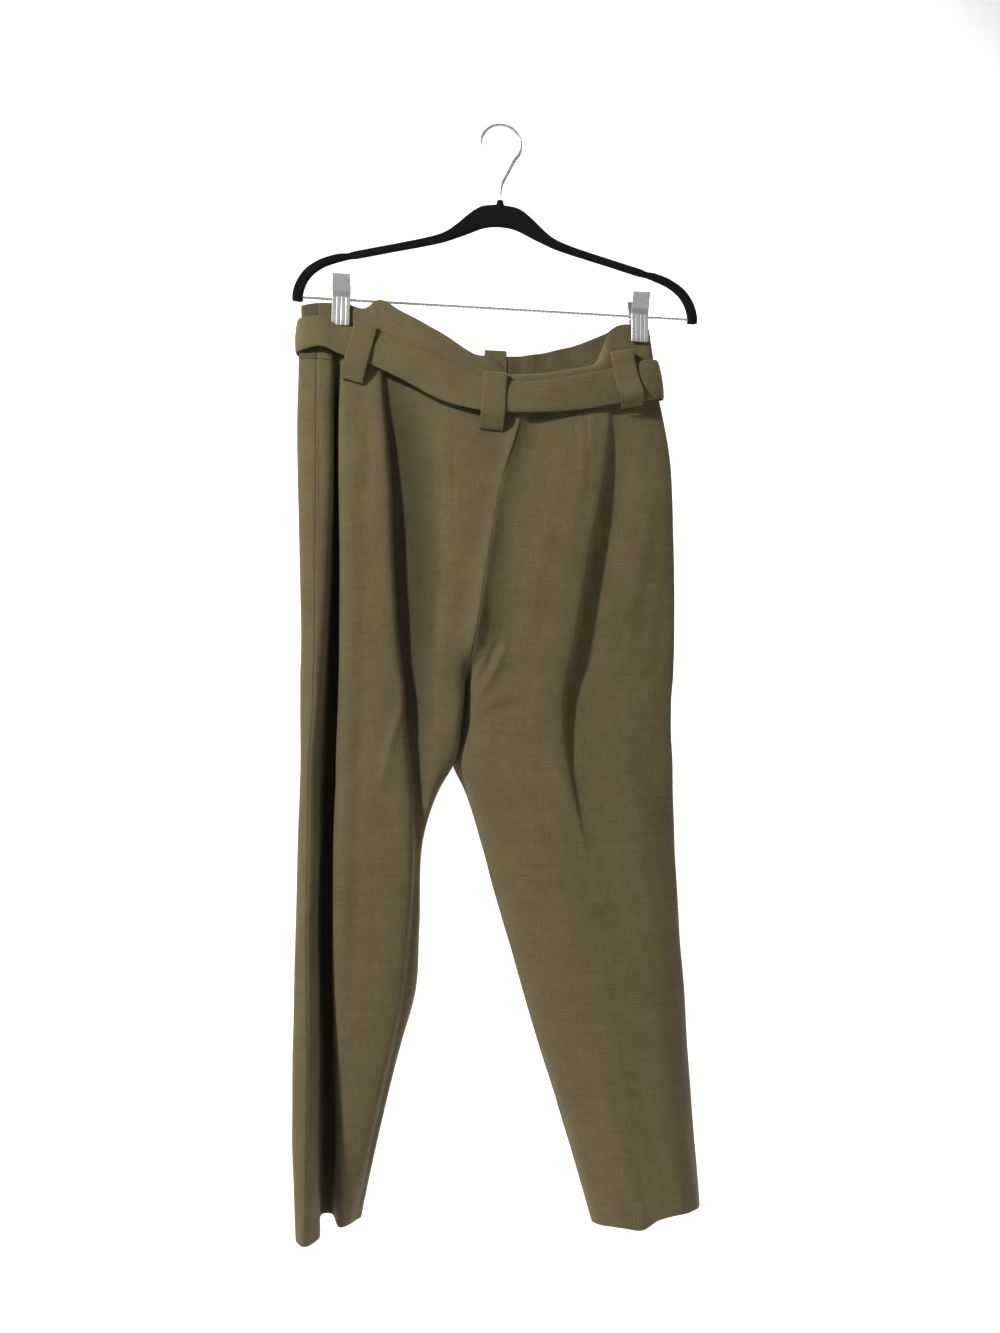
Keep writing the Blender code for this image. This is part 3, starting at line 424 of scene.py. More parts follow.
def build_studio():
    """Pale surroundings, a lamp from the left and soft lights on the backdrop."""
    world = bpy.data.worlds.new("studio")
    bpy.context.scene.world = world
    world.use_nodes = True
    sky = world.node_tree.nodes["Background"]
    sky.inputs["Color"].default_value = (*WHITE, 1.0)
    sky.inputs["Strength"].default_value = 0.15
    build_sweep()
    lamp = bpy.data.lights.new("lamp", "SPOT")
    lamp.energy = 310
    lamp.shadow_soft_size = 0.13
    lamp.spot_size = math.radians(52)
    lamp.spot_blend = 0.5
    lamp.color = (1.0, 0.96, 0.88)
    place_light(lamp, LAMP_PLACE, LAMP_AIM)
    for name, place, aim, size, power, colour in SOFT_LIGHTS:
        data = bpy.data.lights.new(name, "AREA")
        data.shape = "RECTANGLE"
        data.size, data.size_y = size
        data.energy = power
        data.color = colour
        place_light(data, place, aim)


# ---- finishes ----

# Where the clips stand, by x, how many groove steps lie between them, and the top of their grooves.
CLIP_PLACES = (-171.0, 156.5)
GROOVE_STEPS = 67
GROOVE_TOP = -209.0
# The weave's pitch in metres, how deep in a fold, in millimetres, the painted fold shade is darkest, and how
# dark that painted shade is.
THREAD_PITCH = 0.0011
FOLD_DARKEST = 12.0
FOLD_SHADE = 0.62


class Amount:
    """A number in a finish. Sums and products of amounts add Math nodes."""

    def __init__(self, finish, socket):
        self.finish = finish
        self.socket = socket

    def join(self, operation, *values):
        return self.finish.amount("ShaderNodeMath", {"operation": operation}, dict(enumerate(values)))

    def __add__(self, other):
        return self.join("ADD", self, other)

    __radd__ = __add__

    def __mul__(self, other):
        return self.join("MULTIPLY", self, other)

    __rmul__ = __mul__

    def __sub__(self, other):
        return self.join("SUBTRACT", self, other)

    def __rsub__(self, other):
        return self.join("SUBTRACT", other, self)

    def __truediv__(self, other):
        return self.join("DIVIDE", self, other)

    def __neg__(self):
        return self.join("MULTIPLY", self, -1.0)

    def sine(self):
        return self.join("SINE", self)

    def bell(self, width):
        """1 at zero, falling away over width."""
        scaled = self / width
        return self.join("POWER", 2.718, -(scaled * scaled))

    def clipped(self):
        return self.finish.amount("ShaderNodeClamp", {}, {"Value": self})


class Finish:
    """One procedural material."""

    def __init__(self, name, **fixed):
        self.material = bpy.data.materials.new(name)
        self.material.use_nodes = True
        self.tree = self.material.node_tree
        self.shader = self.tree.nodes["Principled BSDF"]
        for socket, value in fixed.items():
            self.shader.inputs[socket.replace("_", " ")].default_value = value

    def add(self, kind, settings, sockets):
        made = self.tree.nodes.new(kind)
        for name, value in settings.items():
            if name == "stops":
                self.set_stops(made.color_ramp, value)
            else:
                setattr(made, name, value)
        for name, value in sockets.items():
            self.feed(made.inputs[name], value)
        return made

    def set_stops(self, ramp, stops):
        while len(ramp.elements) < len(stops):
            ramp.elements.new(0.5)
        for element, (place, colour) in zip(ramp.elements, stops):
            element.position = place
            element.color = colour

    def feed(self, socket, value):
        if isinstance(value, Amount):
            value = value.socket
        if isinstance(value, bpy.types.NodeSocket):
            self.tree.links.new(value, socket)
        else:
            socket.default_value = value

    def amount(self, kind, settings, sockets, output=0):
        return Amount(self, self.add(kind, settings, sockets).outputs[output])

    def attribute(self, name):
        return self.amount("ShaderNodeAttribute", {"attribute_name": name}, {}, "Fac")

    def xyz(self, vector):
        made = self.add("ShaderNodeSeparateXYZ", {}, {0: vector})
        return [Amount(self, output) for output in made.outputs]

    def ramp(self, place, *stops):
        return self.add("ShaderNodeValToRGB", {"stops": stops}, {0: place}).outputs[0]

    def scaled(self, vector, scale):
        return self.add("ShaderNodeVectorMath", {"operation": "MULTIPLY"}, {0: vector, 1: scale}).outputs[0]

    def noise(self, vector, scale, detail=2.0, roughness=0.5):
        sockets = {"Vector": vector, "Scale": scale, "Detail": detail, "Roughness": roughness}
        return self.amount("ShaderNodeTexNoise", {}, sockets)

    def blend(self, factor, low, high):
        made = self.add("ShaderNodeMix", {"data_type": "RGBA"}, {"Factor": factor, "A": low, "B": high})
        return made.outputs["Result"]

    def relief(self, height, depth, strength):
        sockets = {"Height": height, "Distance": depth, "Strength": strength}
        made = self.add("ShaderNodeBump", {}, sockets)
        self.feed(self.shader.inputs["Normal"], made.outputs[0])


def studio_paper():
    finish = Finish("studio_paper", Roughness=0.95)
    finish.shader.inputs["Emission Color"].default_value = (1, 1, 1, 1)
    finish.shader.inputs["Emission Strength"].default_value = 0.12
    finish.shader.inputs["Base Color"].default_value = (0.9, 0.9, 0.9, 1)
    return finish.material


def trouser_cloth(name, tone=1.0):
    """Olive crepe: crossed threads, slubs, mottling and a low sheen, darker at sewn lines, with painted shade
    in folds.
    """
    sheen = {"Sheen_Weight": 0.16, "Sheen_Roughness": 0.45, "Sheen_Tint": (0.9, 0.85, 0.7, 1)}
    finish = Finish(name, Specular_IOR_Level=0.3, **sheen)
    flat = finish.add("ShaderNodeUVMap", {"uv_map": "cloth"}, {}).outputs[0]
    across, along, _ = finish.xyz(flat)
    wander = finish.noise(flat, 260.0, 1.0) * 0.0007
    turn = 2 * math.pi / THREAD_PITCH
    weft = ((across + wander) * turn).sine()
    warp = ((along + wander) * turn).sine()
    grain = finish.noise(flat, 900.0, 2.0)
    pick = finish.noise(finish.scaled(flat, (900.0, 60.0, 1.0)), 1.0, 2.0)
    slub = finish.noise(finish.scaled(flat, (55.0, 760.0, 1.0)), 1.0, 3.0, 0.6)
    streak = finish.noise(finish.scaled(flat, (9.0, 210.0, 1.0)), 1.0, 2.0)
    mottle = finish.noise(flat, 26.0, 3.0)
    cloud = finish.noise(flat, 7.0, 2.0)
    threads = weft * warp
    tint = 0.5 + (grain - 0.5) * 0.8 + (pick - 0.5) * 0.6 + (slub - 0.5) * 0.7 + threads * 0.06
    tint = tint + (streak - 0.5) * 0.25 + (mottle - 0.5) * 0.4 + (cloud - 0.5) * 0.35
    seam = finish.attribute("seam_mm").bell(0.6)
    line = finish.attribute("line_mm").bell(0.5)
    shade = (tint - seam * 0.35 - line * 0.4).clipped()
    # A tone below 1 makes a copy of the cloth darkened all over with painted shade.
    low = tuple(v * tone for v in (0.080, 0.062, 0.026)) + (1.0,)
    high = tuple(v * tone for v in (0.200, 0.160, 0.076)) + (1.0,)
    colour = finish.ramp(shade, (0.0, low), (1.0, high))
    # Painted shade: the colour darkens towards a much darker olive the deeper the cloth lies below the fold's
    # lips.
    depth = (finish.attribute("fold_mm") / FOLD_DARKEST).clipped()
    painted_fold_shade = finish.blend(depth * FOLD_SHADE, colour, tuple(v * 0.22 for v in low[:3]) + (1.0,))
    finish.feed(finish.shader.inputs["Base Color"], painted_fold_shade)
    finish.feed(finish.shader.inputs["Roughness"], 0.78 + (grain - 0.5) * 0.12)
    height = threads * 0.3 + grain * 0.9 + pick * 0.7 + slub * 0.8 - seam * 1.5 - line * 1.5
    finish.relief(height, 0.00024, 0.8)
    return finish.material


def hanger_flock():
    """Black velvet flock: short fibres that catch a little light at the edges."""
    sheen = {"Sheen_Weight": 0.04, "Sheen_Roughness": 0.4, "Sheen_Tint": (0.5, 0.5, 0.56, 1)}
    finish = Finish("hanger_flock_fibres", Specular_IOR_Level=0.12, **sheen)
    place = finish.add("ShaderNodeTexCoord", {}, {}).outputs["Object"]
    fibres = finish.noise(place, 2600.0, 3.0, 0.7)
    brushed = finish.noise(place, 90.0, 3.0)
    tint = (0.35 + (fibres - 0.5) * 0.8 + (brushed - 0.5) * 0.5).clipped()
    colour = finish.ramp(tint, (0.0, (0.003, 0.003, 0.004, 1)), (1.0, (0.014, 0.014, 0.018, 1)))
    finish.feed(finish.shader.inputs["Base Color"], colour)
    finish.feed(finish.shader.inputs["Roughness"], 0.88 + (fibres - 0.5) * 0.15)
    finish.relief(fibres * 0.8 + brushed * 0.4, 0.0005, 0.9)
    return finish.material


def bright_plating():
    """Plated steel, faintly wiped and clouded, with three pressed grooves down each clip, their colour
    darkened with painted shade.
    """
    finish = Finish("bright_plating", Metallic=0.9)
    place = finish.add("ShaderNodeTexCoord", {}, {}).outputs["Object"]
    x, _, z = finish.xyz(place)
    wipes = finish.noise(finish.scaled(place, (60.0, 60.0, 900.0)), 1.0, 2.0)
    cloud = finish.noise(place, 160.0, 2.0)
    step = (CLIP_PLACES[1] - CLIP_PLACES[0]) * MM / GROOVE_STEPS
    turned = ((x - CLIP_PLACES[0] * MM) * (math.pi / step)).sine()
    jaw = ((GROOVE_TOP * MM - z) * 900.0).clipped()
    groove = turned.bell(0.22) * jaw
    finish.feed(finish.shader.inputs["Roughness"], 0.2 + wipes * 0.1 + cloud * 0.08 + groove * 0.3)
    colour = finish.ramp(cloud, (0.0, (0.80, 0.81, 0.83, 1)), (1.0, (0.94, 0.95, 0.96, 1)))
    # Painted shade: the grooves' colour is pulled down to a dark grey.
    shaded = finish.blend(groove * 0.8, colour, (0.16, 0.18, 0.18, 1.0))
    finish.feed(finish.shader.inputs["Base Color"], shaded)
    finish.relief(wipes * 0.1 - groove, 0.0004, 0.6)
    return finish.material


# ---- cloth shells ----

# Faces that meet at more than this many degrees keep a keen edge between them.
KEEN_EDGE = 55.0


def cloth_piece(node, points, faces, flat, seam, line, fold, finish):
    """A closed cloth piece that stands for a node, from points in millimetres, their flat layout, their
    distances from a seam and from a sewn line, and their depth below the lips of a fold, which sets the
    painted fold shade."""
    points = np.asarray(points, float)
    volume = 0.0
    for corners in ([f[:3] for f in faces], [(f[0], f[2], f[3]) for f in faces if len(f) == 4]):
        a, b, c = (points[np.array(corners)[:, k]] for k in range(3))
        volume += np.einsum("ij,ij->i", a, np.cross(b, c)).sum()
    if volume < 0:
        faces = [f[::-1] for f in faces]
    mesh = bpy.data.meshes.new(node + "_cloth")
    mesh.from_pydata((points * MM).tolist(), [], faces)
    mesh.polygons.foreach_set("use_smooth", [True] * len(mesh.polygons))
    mesh.set_sharp_from_angle(angle=math.radians(KEEN_EDGE))
    layer = mesh.uv_layers.new(name="cloth")
    corner = np.zeros(len(mesh.loops), int)
    mesh.loops.foreach_get("vertex_index", corner)
    layer.data.foreach_set("uv", (np.asarray(flat, float)[corner] * MM).ravel())
    for key, values in (("seam_mm", seam), ("line_mm", line), ("fold_mm", fold)):
        made = mesh.attributes.new(key, "FLOAT", "POINT")
        made.data.foreach_set("value", np.asarray(values, np.float32).ravel())
    mesh.materials.append(finish)
    obj = bpy.data.objects.new(node + "_cloth", mesh)
    bpy.context.scene.collection.objects.link(obj)
    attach(obj, "root")
    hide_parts(node)
    return obj


def shell_faces(rows, columns):
    """Faces of an outer grid, an inner grid and the four edge strips between them."""
    count = rows * columns
    index = np.arange(count).reshape(rows, columns)
    outer = np.stack([index[:-1, :-1], index[:-1, 1:], index[1:, 1:], index[1:, :-1]], -1).reshape(-1, 4)
    inner = outer[:, ::-1] + count
    strips = []
    for edge, turn in ((index[0], True), (index[-1], False), (index[:, 0], False), (index[:, -1], True)):
        a, b = edge[:-1], edge[1:]
        strip = np.stack([a, b, b + count, a + count], -1)
        strips.append(strip[:, ::-1] if turn else strip)
    return [tuple(int(v) for v in f) for f in np.concatenate([outer, inner, *strips])]


def shell(node, wall, finish, grid, normals, line, fold):
    """A closed cloth wall from a grid of points on its outer face."""
    across, along = run_along(grid, 1), run_along(grid, 0)
    seam = np.minimum(across, across[:, -1:] - across)
    grid = grid.copy()
    for edge, inside in ((0, 1), (-1, -2)):
        step = unit(grid[:, inside] - grid[:, edge])
        grid[:, edge] += step * SEAM_GAP / 2
    points = np.concatenate([grid.reshape(-1, 3), (grid - normals * wall).reshape(-1, 3)])
    middle = across - across[:, -1:] / 2
    flat = np.stack([middle, -np.broadcast_to(along.mean(1, keepdims=True), along.shape)], -1).reshape(-1, 2)
    values = (np.tile(value.ravel(), 2) for value in (seam, line, fold))
    return cloth_piece(node, points, shell_faces(*seam.shape), np.tile(flat, (2, 1)), *values, finish)


def spread_columns(half, curves, beside_seam):
    """Places round one half, even along the cloth and closer at its seams, and where the side seam falls."""
    last = station_count(half) - 1
    fine = np.linspace(0, last, last * 24 + 1)
    length = sum(run_along(around(stations, fine)) / len(curves) for stations in curves)
    side = np.interp(side_index(half), fine, length)
    places = []
    for low, high in ((0.0, side), (side, length[-1])):
        even = np.linspace(low, high, int((high - low) / COLUMN_STEP))
        extra = [place for gap in beside_seam for place in (low + gap, high - gap)]
        places.append(np.unique(np.concatenate([even, extra])))
    chosen = np.concatenate([places[0], places[1][1:]])
    return np.interp(chosen, length, fine), len(places[0]) - 1


def join_centres(raw, rows):
    """Shares the normals of both halves where they meet at the centre back and front."""
    for edge in (0, -1):
        joined = raw["left"][rows, edge] + raw["right"][rows, edge]
        raw["left"][rows, edge] = joined
        raw["right"][rows, edge] = joined


def level_row(normals, row):
    """Turns the normals of a row level, so that the cloth above and the cloth below meet there."""
    normals[row, :, 2] = 0.0
    normals[row] = unit(normals[row])


def faces_of(half):
    """The back and the front of one half: the start of their names and their columns."""
    return ("back_", slice(0, half["side"] + 1)), ("front_", slice(half["side"], None))


def leg_points(half):
    """Points of one leg: rows from waist seam to hem, columns from the centre back round to the front.
    Then each column's place round the half, the side seam's column and the row below the crotch."""
    u, side = spread_columns(half, [section(half, height) for height in SPREAD_HEIGHTS], (0.8, 1.8))
    levels = np.arange(TOP_LEVEL, HEM - 6, -LEVEL_STEP)
    cuts = np.array([around(section(half, level), u) for level in levels])
    upper = np.linspace(WAIST_TOP, CROTCH, int((WAIST_TOP - CROTCH) / ROW_STEP))
    lower = np.linspace(CROTCH, HEM, int((CROTCH - HEM) / ROW_STEP))
    nominal = np.concatenate([upper, lower[1:-1], [HEM + 2.6, HEM + 1.0, HEM]])
    seam_share = smooth_step(side_index(half), side_index(half) + 2.5, u)
    grid = np.empty((len(nominal), len(u), 3))

    def read(heights):
        place = np.clip((levels[0] - heights) / LEVEL_STEP, 0, len(levels) - 1.001)
        k = place.astype(int)
        part = (place - k)[:, None]
        columns = np.arange(len(u))
        return cuts[k, columns] * (1 - part) + cuts[k + 1, columns] * part

    for r, height in enumerate(nominal):
        follow = np.clip((height - LEVEL_BY) / (WAIST_TOP - LEVEL_BY), 0.0, 1.0)
        flat = read(np.full(len(u), height))
        seam = edge_height(BACK_WAIST, FRONT_WAIST, flat[:, 0], seam_share)
        heights = height + (seam - WAIST_TOP) * follow + hem_rise(half, height, flat[:, 0])
        grid[r, :, :2] = read(heights)
        grid[r, :, 2] = heights
    first = side_index(half) + 1.5
    front = smooth_step(first, first + 1.2, u) * smooth_step(0.0, 0.3, station_count(half) - 1 - u)
    grid[:, :, 1] -= front * pleat_relief(grid[:, :, 0], grid[:, :, 2])
    return grid, u, side, len(upper)


def near_path(x, z, path):
    """Distance from a line of points in the XZ plane, and how far along it, from 0 to 1."""
    path = np.array(path, float)
    lengths = np.linalg.norm(np.diff(path, axis=0), axis=1)
    total = lengths.sum()
    best = np.full(x.shape, 1e9)
    place = np.zeros(x.shape)
    done = 0.0
    for a, b, length in zip(path[:-1], path[1:], lengths):
        way = (b - a) / length
        t = np.clip((x - a[0]) * way[0] + (z - a[1]) * way[1], 0, length)
        gap = np.hypot(x - a[0] - way[0] * t, z - a[1] - way[1] * t)
        closer = gap < best
        best = np.where(closer, gap, best)
        place = np.where(closer, (done + t) / total, place)
        done += length
    return best, place


# Creases, listed one by one. Columns: face, line of points as x and height, width, rise of its ridge (or
# fall).
CREASES = (
    ("back", ((5, -518), (26, -510), (50, -500)), 4.0, -1.1),
    ("back", ((3, -524), (26, -516), (50, -507)), 4.5, 0.9),
    ("back", ((-2, -540), (20, -534), (38, -531)), 6.0, 0.9),
    ("back", ((-26, -640), (-15, -619), (-5, -599), (8, -569)), 3.2, -3.4),
    ("back", ((-20, -646), (-8, -624), (3, -604), (14, -574)), 4.5, 3.2),
    ("back", ((-22, -656), (-6, -642), (14, -634), (40, -636)), 5.0, 2.0),
    ("back", ((-20, -666), (-2, -653), (20, -648), (50, -655)), 5.0, -1.6),
    ("back", ((-34, -640), (-48, -625), (-60, -596)), 6.0, 1.0),
    ("back", ((-96, -612), (-98, -657), (-107, -684), (-113, -716), (-119, -738)), 3.6, 2.6),
    ("back", ((-60, -560), (-78, -540), (-90, -505)), 9.0, 1.0),
    ("back", ((-142, -470), (-141, -600), (-139, -740), (-140, -900), (-146, -1080)), 8.0, -1.8),
    ("back", ((60, -700), (78, -722), (92, -760)), 6.0, 0.9),
    ("back", ((-100, -960), (-122, -955), (-140, -962)), 12.0, 0.9),
    ("back", ((20, -808), (46, -812), (75, -800)), 5.0, 1.1),
    ("back", ((18, -816), (46, -821), (78, -808)), 6.0, -0.8),
    ("back", ((70, -850), (110, -858), (150, -846)), 16.0, 0.9),
    ("back", ((-10, -400), (14, -440), (20, -490)), 12.0, -0.9),
    ("back", ((-90, -360), (-60, -380), (-20, -372)), 14.0, 0.8),
    ("front", ((-20, -640), (-48, -618), (-80, -600)), 6.0, -1.6),
    ("front", ((-34, -636), (-10, -612), (26, -596)), 6.0, -1.6),
    ("front", ((-60, -700), (-95, -690), (-130, -700)), 10.0, 1.1),
    ("front", ((0, -700), (50, -684), (100, -690)), 11.0, 1.1),
    ("front", ((-90, -930), (-125, -922), (-160, -935)), 14.0, 1.1),
    ("front", ((60, -905), (110, -892), (160, -900)), 14.0, 1.1),
)
# Darts: half, and x and height of the line from the waist seam down.
DARTS = (("left", ((-49, -318), (-49, -372), (-48, -456))), ("right", ((96, -316), (98, -378), (99, -424))))
# Columns on each side of a point in which a fold's lips are looked for.
FOLD_REACH = 14
# The ridge beside the centre back and centre front, and the heights between which it dies away.
CENTRE_RIDGE = 2.4
RIDGE_FADE = (-690.0, -600.0)
# How far the cloth wavers off its smooth form, in long waves and in short ones.
SLACK, FINE_SLACK = 1.1, 0.4
# How far above and below the crotch the cloth's facing is eased.
CROTCH_EASE = 25.0
# The pocket's opening, in the left side seam.
POCKET = ((-194, -280), (-197.5, -296), (-192, -328), (-189, -400), (-186.6, -474))


def leg_relief(half, grid, u, side, crotch_row):
    """How far each point of a leg moves out for seams, darts, creases and slack in the cloth."""
    x, z = grid[:, :, 0], grid[:, :, 2]
    across = run_along(grid, 1)
    out = np.zeros(x.shape)
    for gap, depth in ((np.abs(across - across[:, side : side + 1]), 0.3), (across[:, -1:] - across, 0.1)):
        out -= depth * hump(gap, 1.1)
        out += depth / 2 * hump(gap - 4.5, 3.0)
    above = (np.arange(len(grid)) < crotch_row)[:, None]
    ridge = CENTRE_RIDGE * smooth_step(*RIDGE_FADE, z) * above
    out += ridge * hump(across, 7.5)
    back = (u < side_index(half) - 0.02)[None, :]
    front = (u > side_index(half) + 0.6)[None, :]
    for face, path, width, rise in CREASES:
        gap, place = near_path(x, z, path)
        shown = back if face == "back" else front
        out += rise * hump(gap, width) * np.sin(math.pi * np.clip(place, 0.04, 0.96)) * shown
    slack = uneven(across / 95 + (0 if half == "left" else 7.3), z / 330, 11)
    fine = uneven(across / 34 + (0 if half == "left" else 3.1), z / 120, 23)
    hold = smooth_step(0, 60, WAIST_TOP - z)
    out += hold * (SLACK * slack + FINE_SLACK * fine)
    line = np.full(x.shape, FAR)
    for dart_half, path in DARTS:
        if dart_half == half:
            gap, place = near_path(x, z, path)
            held = np.where(back & (z < -300), 1.0, 0.0)
            fade = 1 - smooth_step(0.8, 1.0, place)
            out += held * fade * (0.5 * hump(gap - 5, 4) - 0.5 * hump(gap, 1.6))
            line = np.minimum(line, np.where((held > 0) & (place < 0.995), gap, FAR))
    if half == "left":
        gap, place = near_path(x, z, POCKET)
        held = np.where(back & (x < -180), 1.0, 0.0)
        out -= held * 0.5 * hump(gap, 1.6) * (1 - smooth_step(0.9, 1.0, place))
        line = np.minimum(line, np.where(held > 0, gap, FAR))
    return out, line


def fold_shade_depth(grid, side):
    """How far each point of the back lies below the lips of the fold on both its sides, in millimetres, which
    sets the painted shade in folds.
    """
    y = grid[:, : side + 1, 1]
    lips = []
    for way in (1, -1):
        lip = y.copy()
        for step in range(1, FOLD_REACH):
            beside = np.roll(y, step * way, axis=1)
            if way == 1:
                beside[:, :step] = y[:, :1]
            else:
                beside[:, -step:] = y[:, -1:]
            lip = np.minimum(lip, beside)
        lips.append(lip)
    out = np.zeros(grid.shape[:2])
    out[:, : side + 1] = np.maximum(y - np.maximum(*lips), 0.0)
    return out


def leg_normals(legs):
    """Outward normals of both legs, shared at the centres and inseams and eased round the crotch."""
    raw = {name: facing(half["grid"], name == "right") for name, half in legs.items()}
    split = legs["left"]["row"]
    join_centres(raw, slice(split))
    for name, way in (("left", 1), ("right", -1)):
        found = raw[name]
        joined = found[split:, 0] + found[split:, -1]
        found[split:, 0] = joined
        found[split:, -1] = joined
        found[split - 1, (0, -1)] = np.array([0.6 * way, 0.0, -0.8])
        normals = unit(found)
        near = hump(legs[name]["grid"][:, :, 2] - CROTCH, CROTCH_EASE)[:, :, None]
        for _ in range(6):
            wide = normals.copy()
            beside = normals[1:-1, :-2] + normals[1:-1, 2:]
            wide[1:-1, 1:-1] += normals[:-2, 1:-1] + normals[2:, 1:-1] + beside
            normals = unit(normals * (1 - near) + unit(wide) * near)
        legs[name]["normals"] = normals


def build_legs(cloth):
    legs = {}
    for name in ("left", "right"):
        grid, u, side, crotch_row = leg_points(name)
        relief, line = leg_relief(name, grid, u, side, crotch_row)
        legs[name] = {"grid": grid, "u": u, "side": side, "row": crotch_row, "relief": relief, "line": line}
        legs[name]["fold"] = fold_shade_depth(grid, side)
    leg_normals(legs)
    for half in legs.values():
        half["grid"] = half["grid"] + half["normals"] * half["relief"][:, :, None]
    leg_normals(legs)
    for name, half in legs.items():
        level_row(half["normals"], 0)
        for face, part in faces_of(half):
            node = face + name
            cut = [half[key][:, part] for key in ("grid", "normals", "line", "fold")]
            made = shell(node, WALL, cloth, *cut)
            "band_" + node
    return legs


# ---- waistband ----

# Steps of the frill from its top edge to its sewn line, and of the band from there to the waist seam.
FRILL_STEPS = 16
BAND_STEPS = 14
# Where the back frill folds over itself beside the left clip, by x, and how far it steps out there.
FRILL_FOLD = -139.0
FRILL_STEP_OUT = 1.6
# From one gather of the front to the next, how that wanders, and the small gathers between.
GATHER_PITCH, GATHER_WANDER, SMALL_GATHER_PITCH = 27.0, 31.0, 9.1


def band_points(half, seam_row, seam_u):
    """Rows of the waistband and its frill, from the frill's top edge down to the waist seam."""
    u, side = spread_columns(half, [band_stations(half, column) for column in (0, 2)], (0.8,))
    share = smooth_step(side_index(half), side_index(half) + 2.5, u)
    low = np.column_stack([np.interp(u, seam_u, seam_row[:, k]) for k in range(3)])
    low[:, 2] += 0.5
    line = around(band_stations(half, 0), u)
    top = around(band_stations(half, 2), u)
    line = np.column_stack([line, edge_height(BACK_LINE, FRONT_LINE, line[:, 0], share)])
    top = np.column_stack([top, edge_height(BACK_TOP, FRONT_TOP, top[:, 0], share)])
    rows = []
    for t in np.linspace(0, 1, BAND_STEPS + 1):
        row = low + (line - low) * t
        row[:, 1] = low[:, 1] + (line[:, 1] - low[:, 1]) * (1 - (1 - t) ** 2)
        rows.append(row)
    rolled = np.zeros(len(u))
    if half == "right":
        rolled = smooth_step(ROLL_FROM, ROLL_FULL, line[:, 0])
        rolled = rolled * (1 - smooth_step(ROLL_FADE, ROLL_TO, line[:, 0])) * (u < side_index(half) + 1.5)
    places = np.array((0.0,) + FRILL_ROWS)
    bends = np.array(((0.0, 0.0),) + ROLLED)
    for t in np.linspace(0, 1, FRILL_STEPS + 1)[1:]:
        over, up = through(places, bends, np.array([t]))[0]
        upright = line + (top - line) * t
        folded = line + np.array([0.0, over, up])
        rows.append(upright * (1 - rolled)[:, None] + folded * rolled[:, None])
    return np.array(rows)[::-1], u, side


def band_relief(half, grid, u):
    """How far each point of the band and frill moves out for gathers, the sewn line and the frill's fold."""
    x = grid[:, :, 0]
    rows = np.arange(len(grid))[:, None]
    frill = np.clip((FRILL_STEPS - rows) / FRILL_STEPS, 0, 1)
    band = np.clip((rows - FRILL_STEPS) / BAND_STEPS, 0, 1)
    front = smooth_step(side_index(half) + 0.5, side_index(half) + 1.6, u)[None, :]
    gathers = np.sin(2 * math.pi * x / GATHER_PITCH + 1.7 * np.sin(x / GATHER_WANDER)) * 0.8
    gathers += np.sin(2 * math.pi * x / SMALL_GATHER_PITCH) * 0.2
    out = front * gathers * (0.25 + 0.75 * frill) * smooth_step(0, 0.4, 1 - band)
    out += (1 - front) * 0.25 * uneven(x / 26, rows / 22.0, 5) * smooth_step(0, 0.3, 1 - band)
    out -= 0.5 * hump(rows - FRILL_STEPS, 1.0)
    fold = x - FRILL_FOLD
    step = FRILL_STEP_OUT * smooth_step(-1.0, 1.0, fold) * np.exp(-np.maximum(fold, 0) / 9.0)
    out += (1 - front) * frill * step
    ends = np.minimum(u - u[0], u[-1] - u)[None, :]
    return out * smooth_step(0.0, 0.15, ends)


def band_normals(bands):
    """Outward normals of the band all round, shared at the centres."""
    raw = {name: facing(half["grid"], name == "right") for name, half in bands.items()}
    join_centres(raw, slice(None))
    for name, half in bands.items():
        half["normals"] = unit(raw[name])


def build_band(cloth, inside, legs):
    bands = {}
    for name in ("left", "right"):
        grid, u, side = band_points(name, legs[name]["grid"][0], legs[name]["u"])
        bands[name] = {"grid": grid, "u": u, "side": side}
    band_normals(bands)
    for name, half in bands.items():
        relief = band_relief(name, half["grid"], half["u"])
        half["grid"] = half["grid"] + half["normals"] * relief[:, :, None]
    band_normals(bands)
    for name, half in bands.items():
        grid = half["grid"]
        level_row(half["normals"], -1)
        above_line = np.arange(len(grid))[:, None] < FRILL_STEPS - 2
        line = np.where(above_line, np.abs(grid[:, :, 0] - FRILL_FOLD), FAR)
        fold = np.zeros(line.shape)
        for face, part in faces_of(half):
            node = "band_" + face + name
            cut = [values[:, part] for values in (grid, half["normals"], line, fold)]
            # The front band pieces take the copy of the cloth darkened with painted shade.
            made = shell(node, BAND_WALL, inside if face == "front_" else cloth, *cut)
            "clip_" + name + "_back"


# ---- belt, loops and shield ----


# Steps of the belt between two rows of its table.
BELT_STEPS = 10


def ring_faces(rings, sides, closed):
    """Faces of a tube of rings, joined end to end or with its two ends filled."""
    faces = []
    for k in range(rings if closed else rings - 1):
        after = (k + 1) % rings
        for j in range(sides):
            beside = (j + 1) % sides
            faces.append((k * sides + j, k * sides + beside, after * sides + beside, after * sides + j))
    if not closed:
        faces.append(tuple(reversed(range(sides))))
        faces.append(tuple((rings - 1) * sides + j for j in range(sides)))
    return faces


def strip_piece(node, rings, places, closed, cloth, point_at):
    """A folded strip of cloth that stands for a node. Each ring runs along its outer face, layer 0, and back
    along its inner face, layer 1. point_at gives a point, its flat place and its distance from an edge."""
    order = [(0, t) for t in places] + [(1, t) for t in places[::-1]]
    points, flat, edge = zip(*[point_at(ring, layer, t) for ring in range(rings) for layer, t in order])
    line, fold = np.full(len(points), FAR), np.zeros(len(points))
    faces = ring_faces(rings, len(order), closed)
    return cloth_piece(node, points, faces, flat, edge, line, fold, cloth)


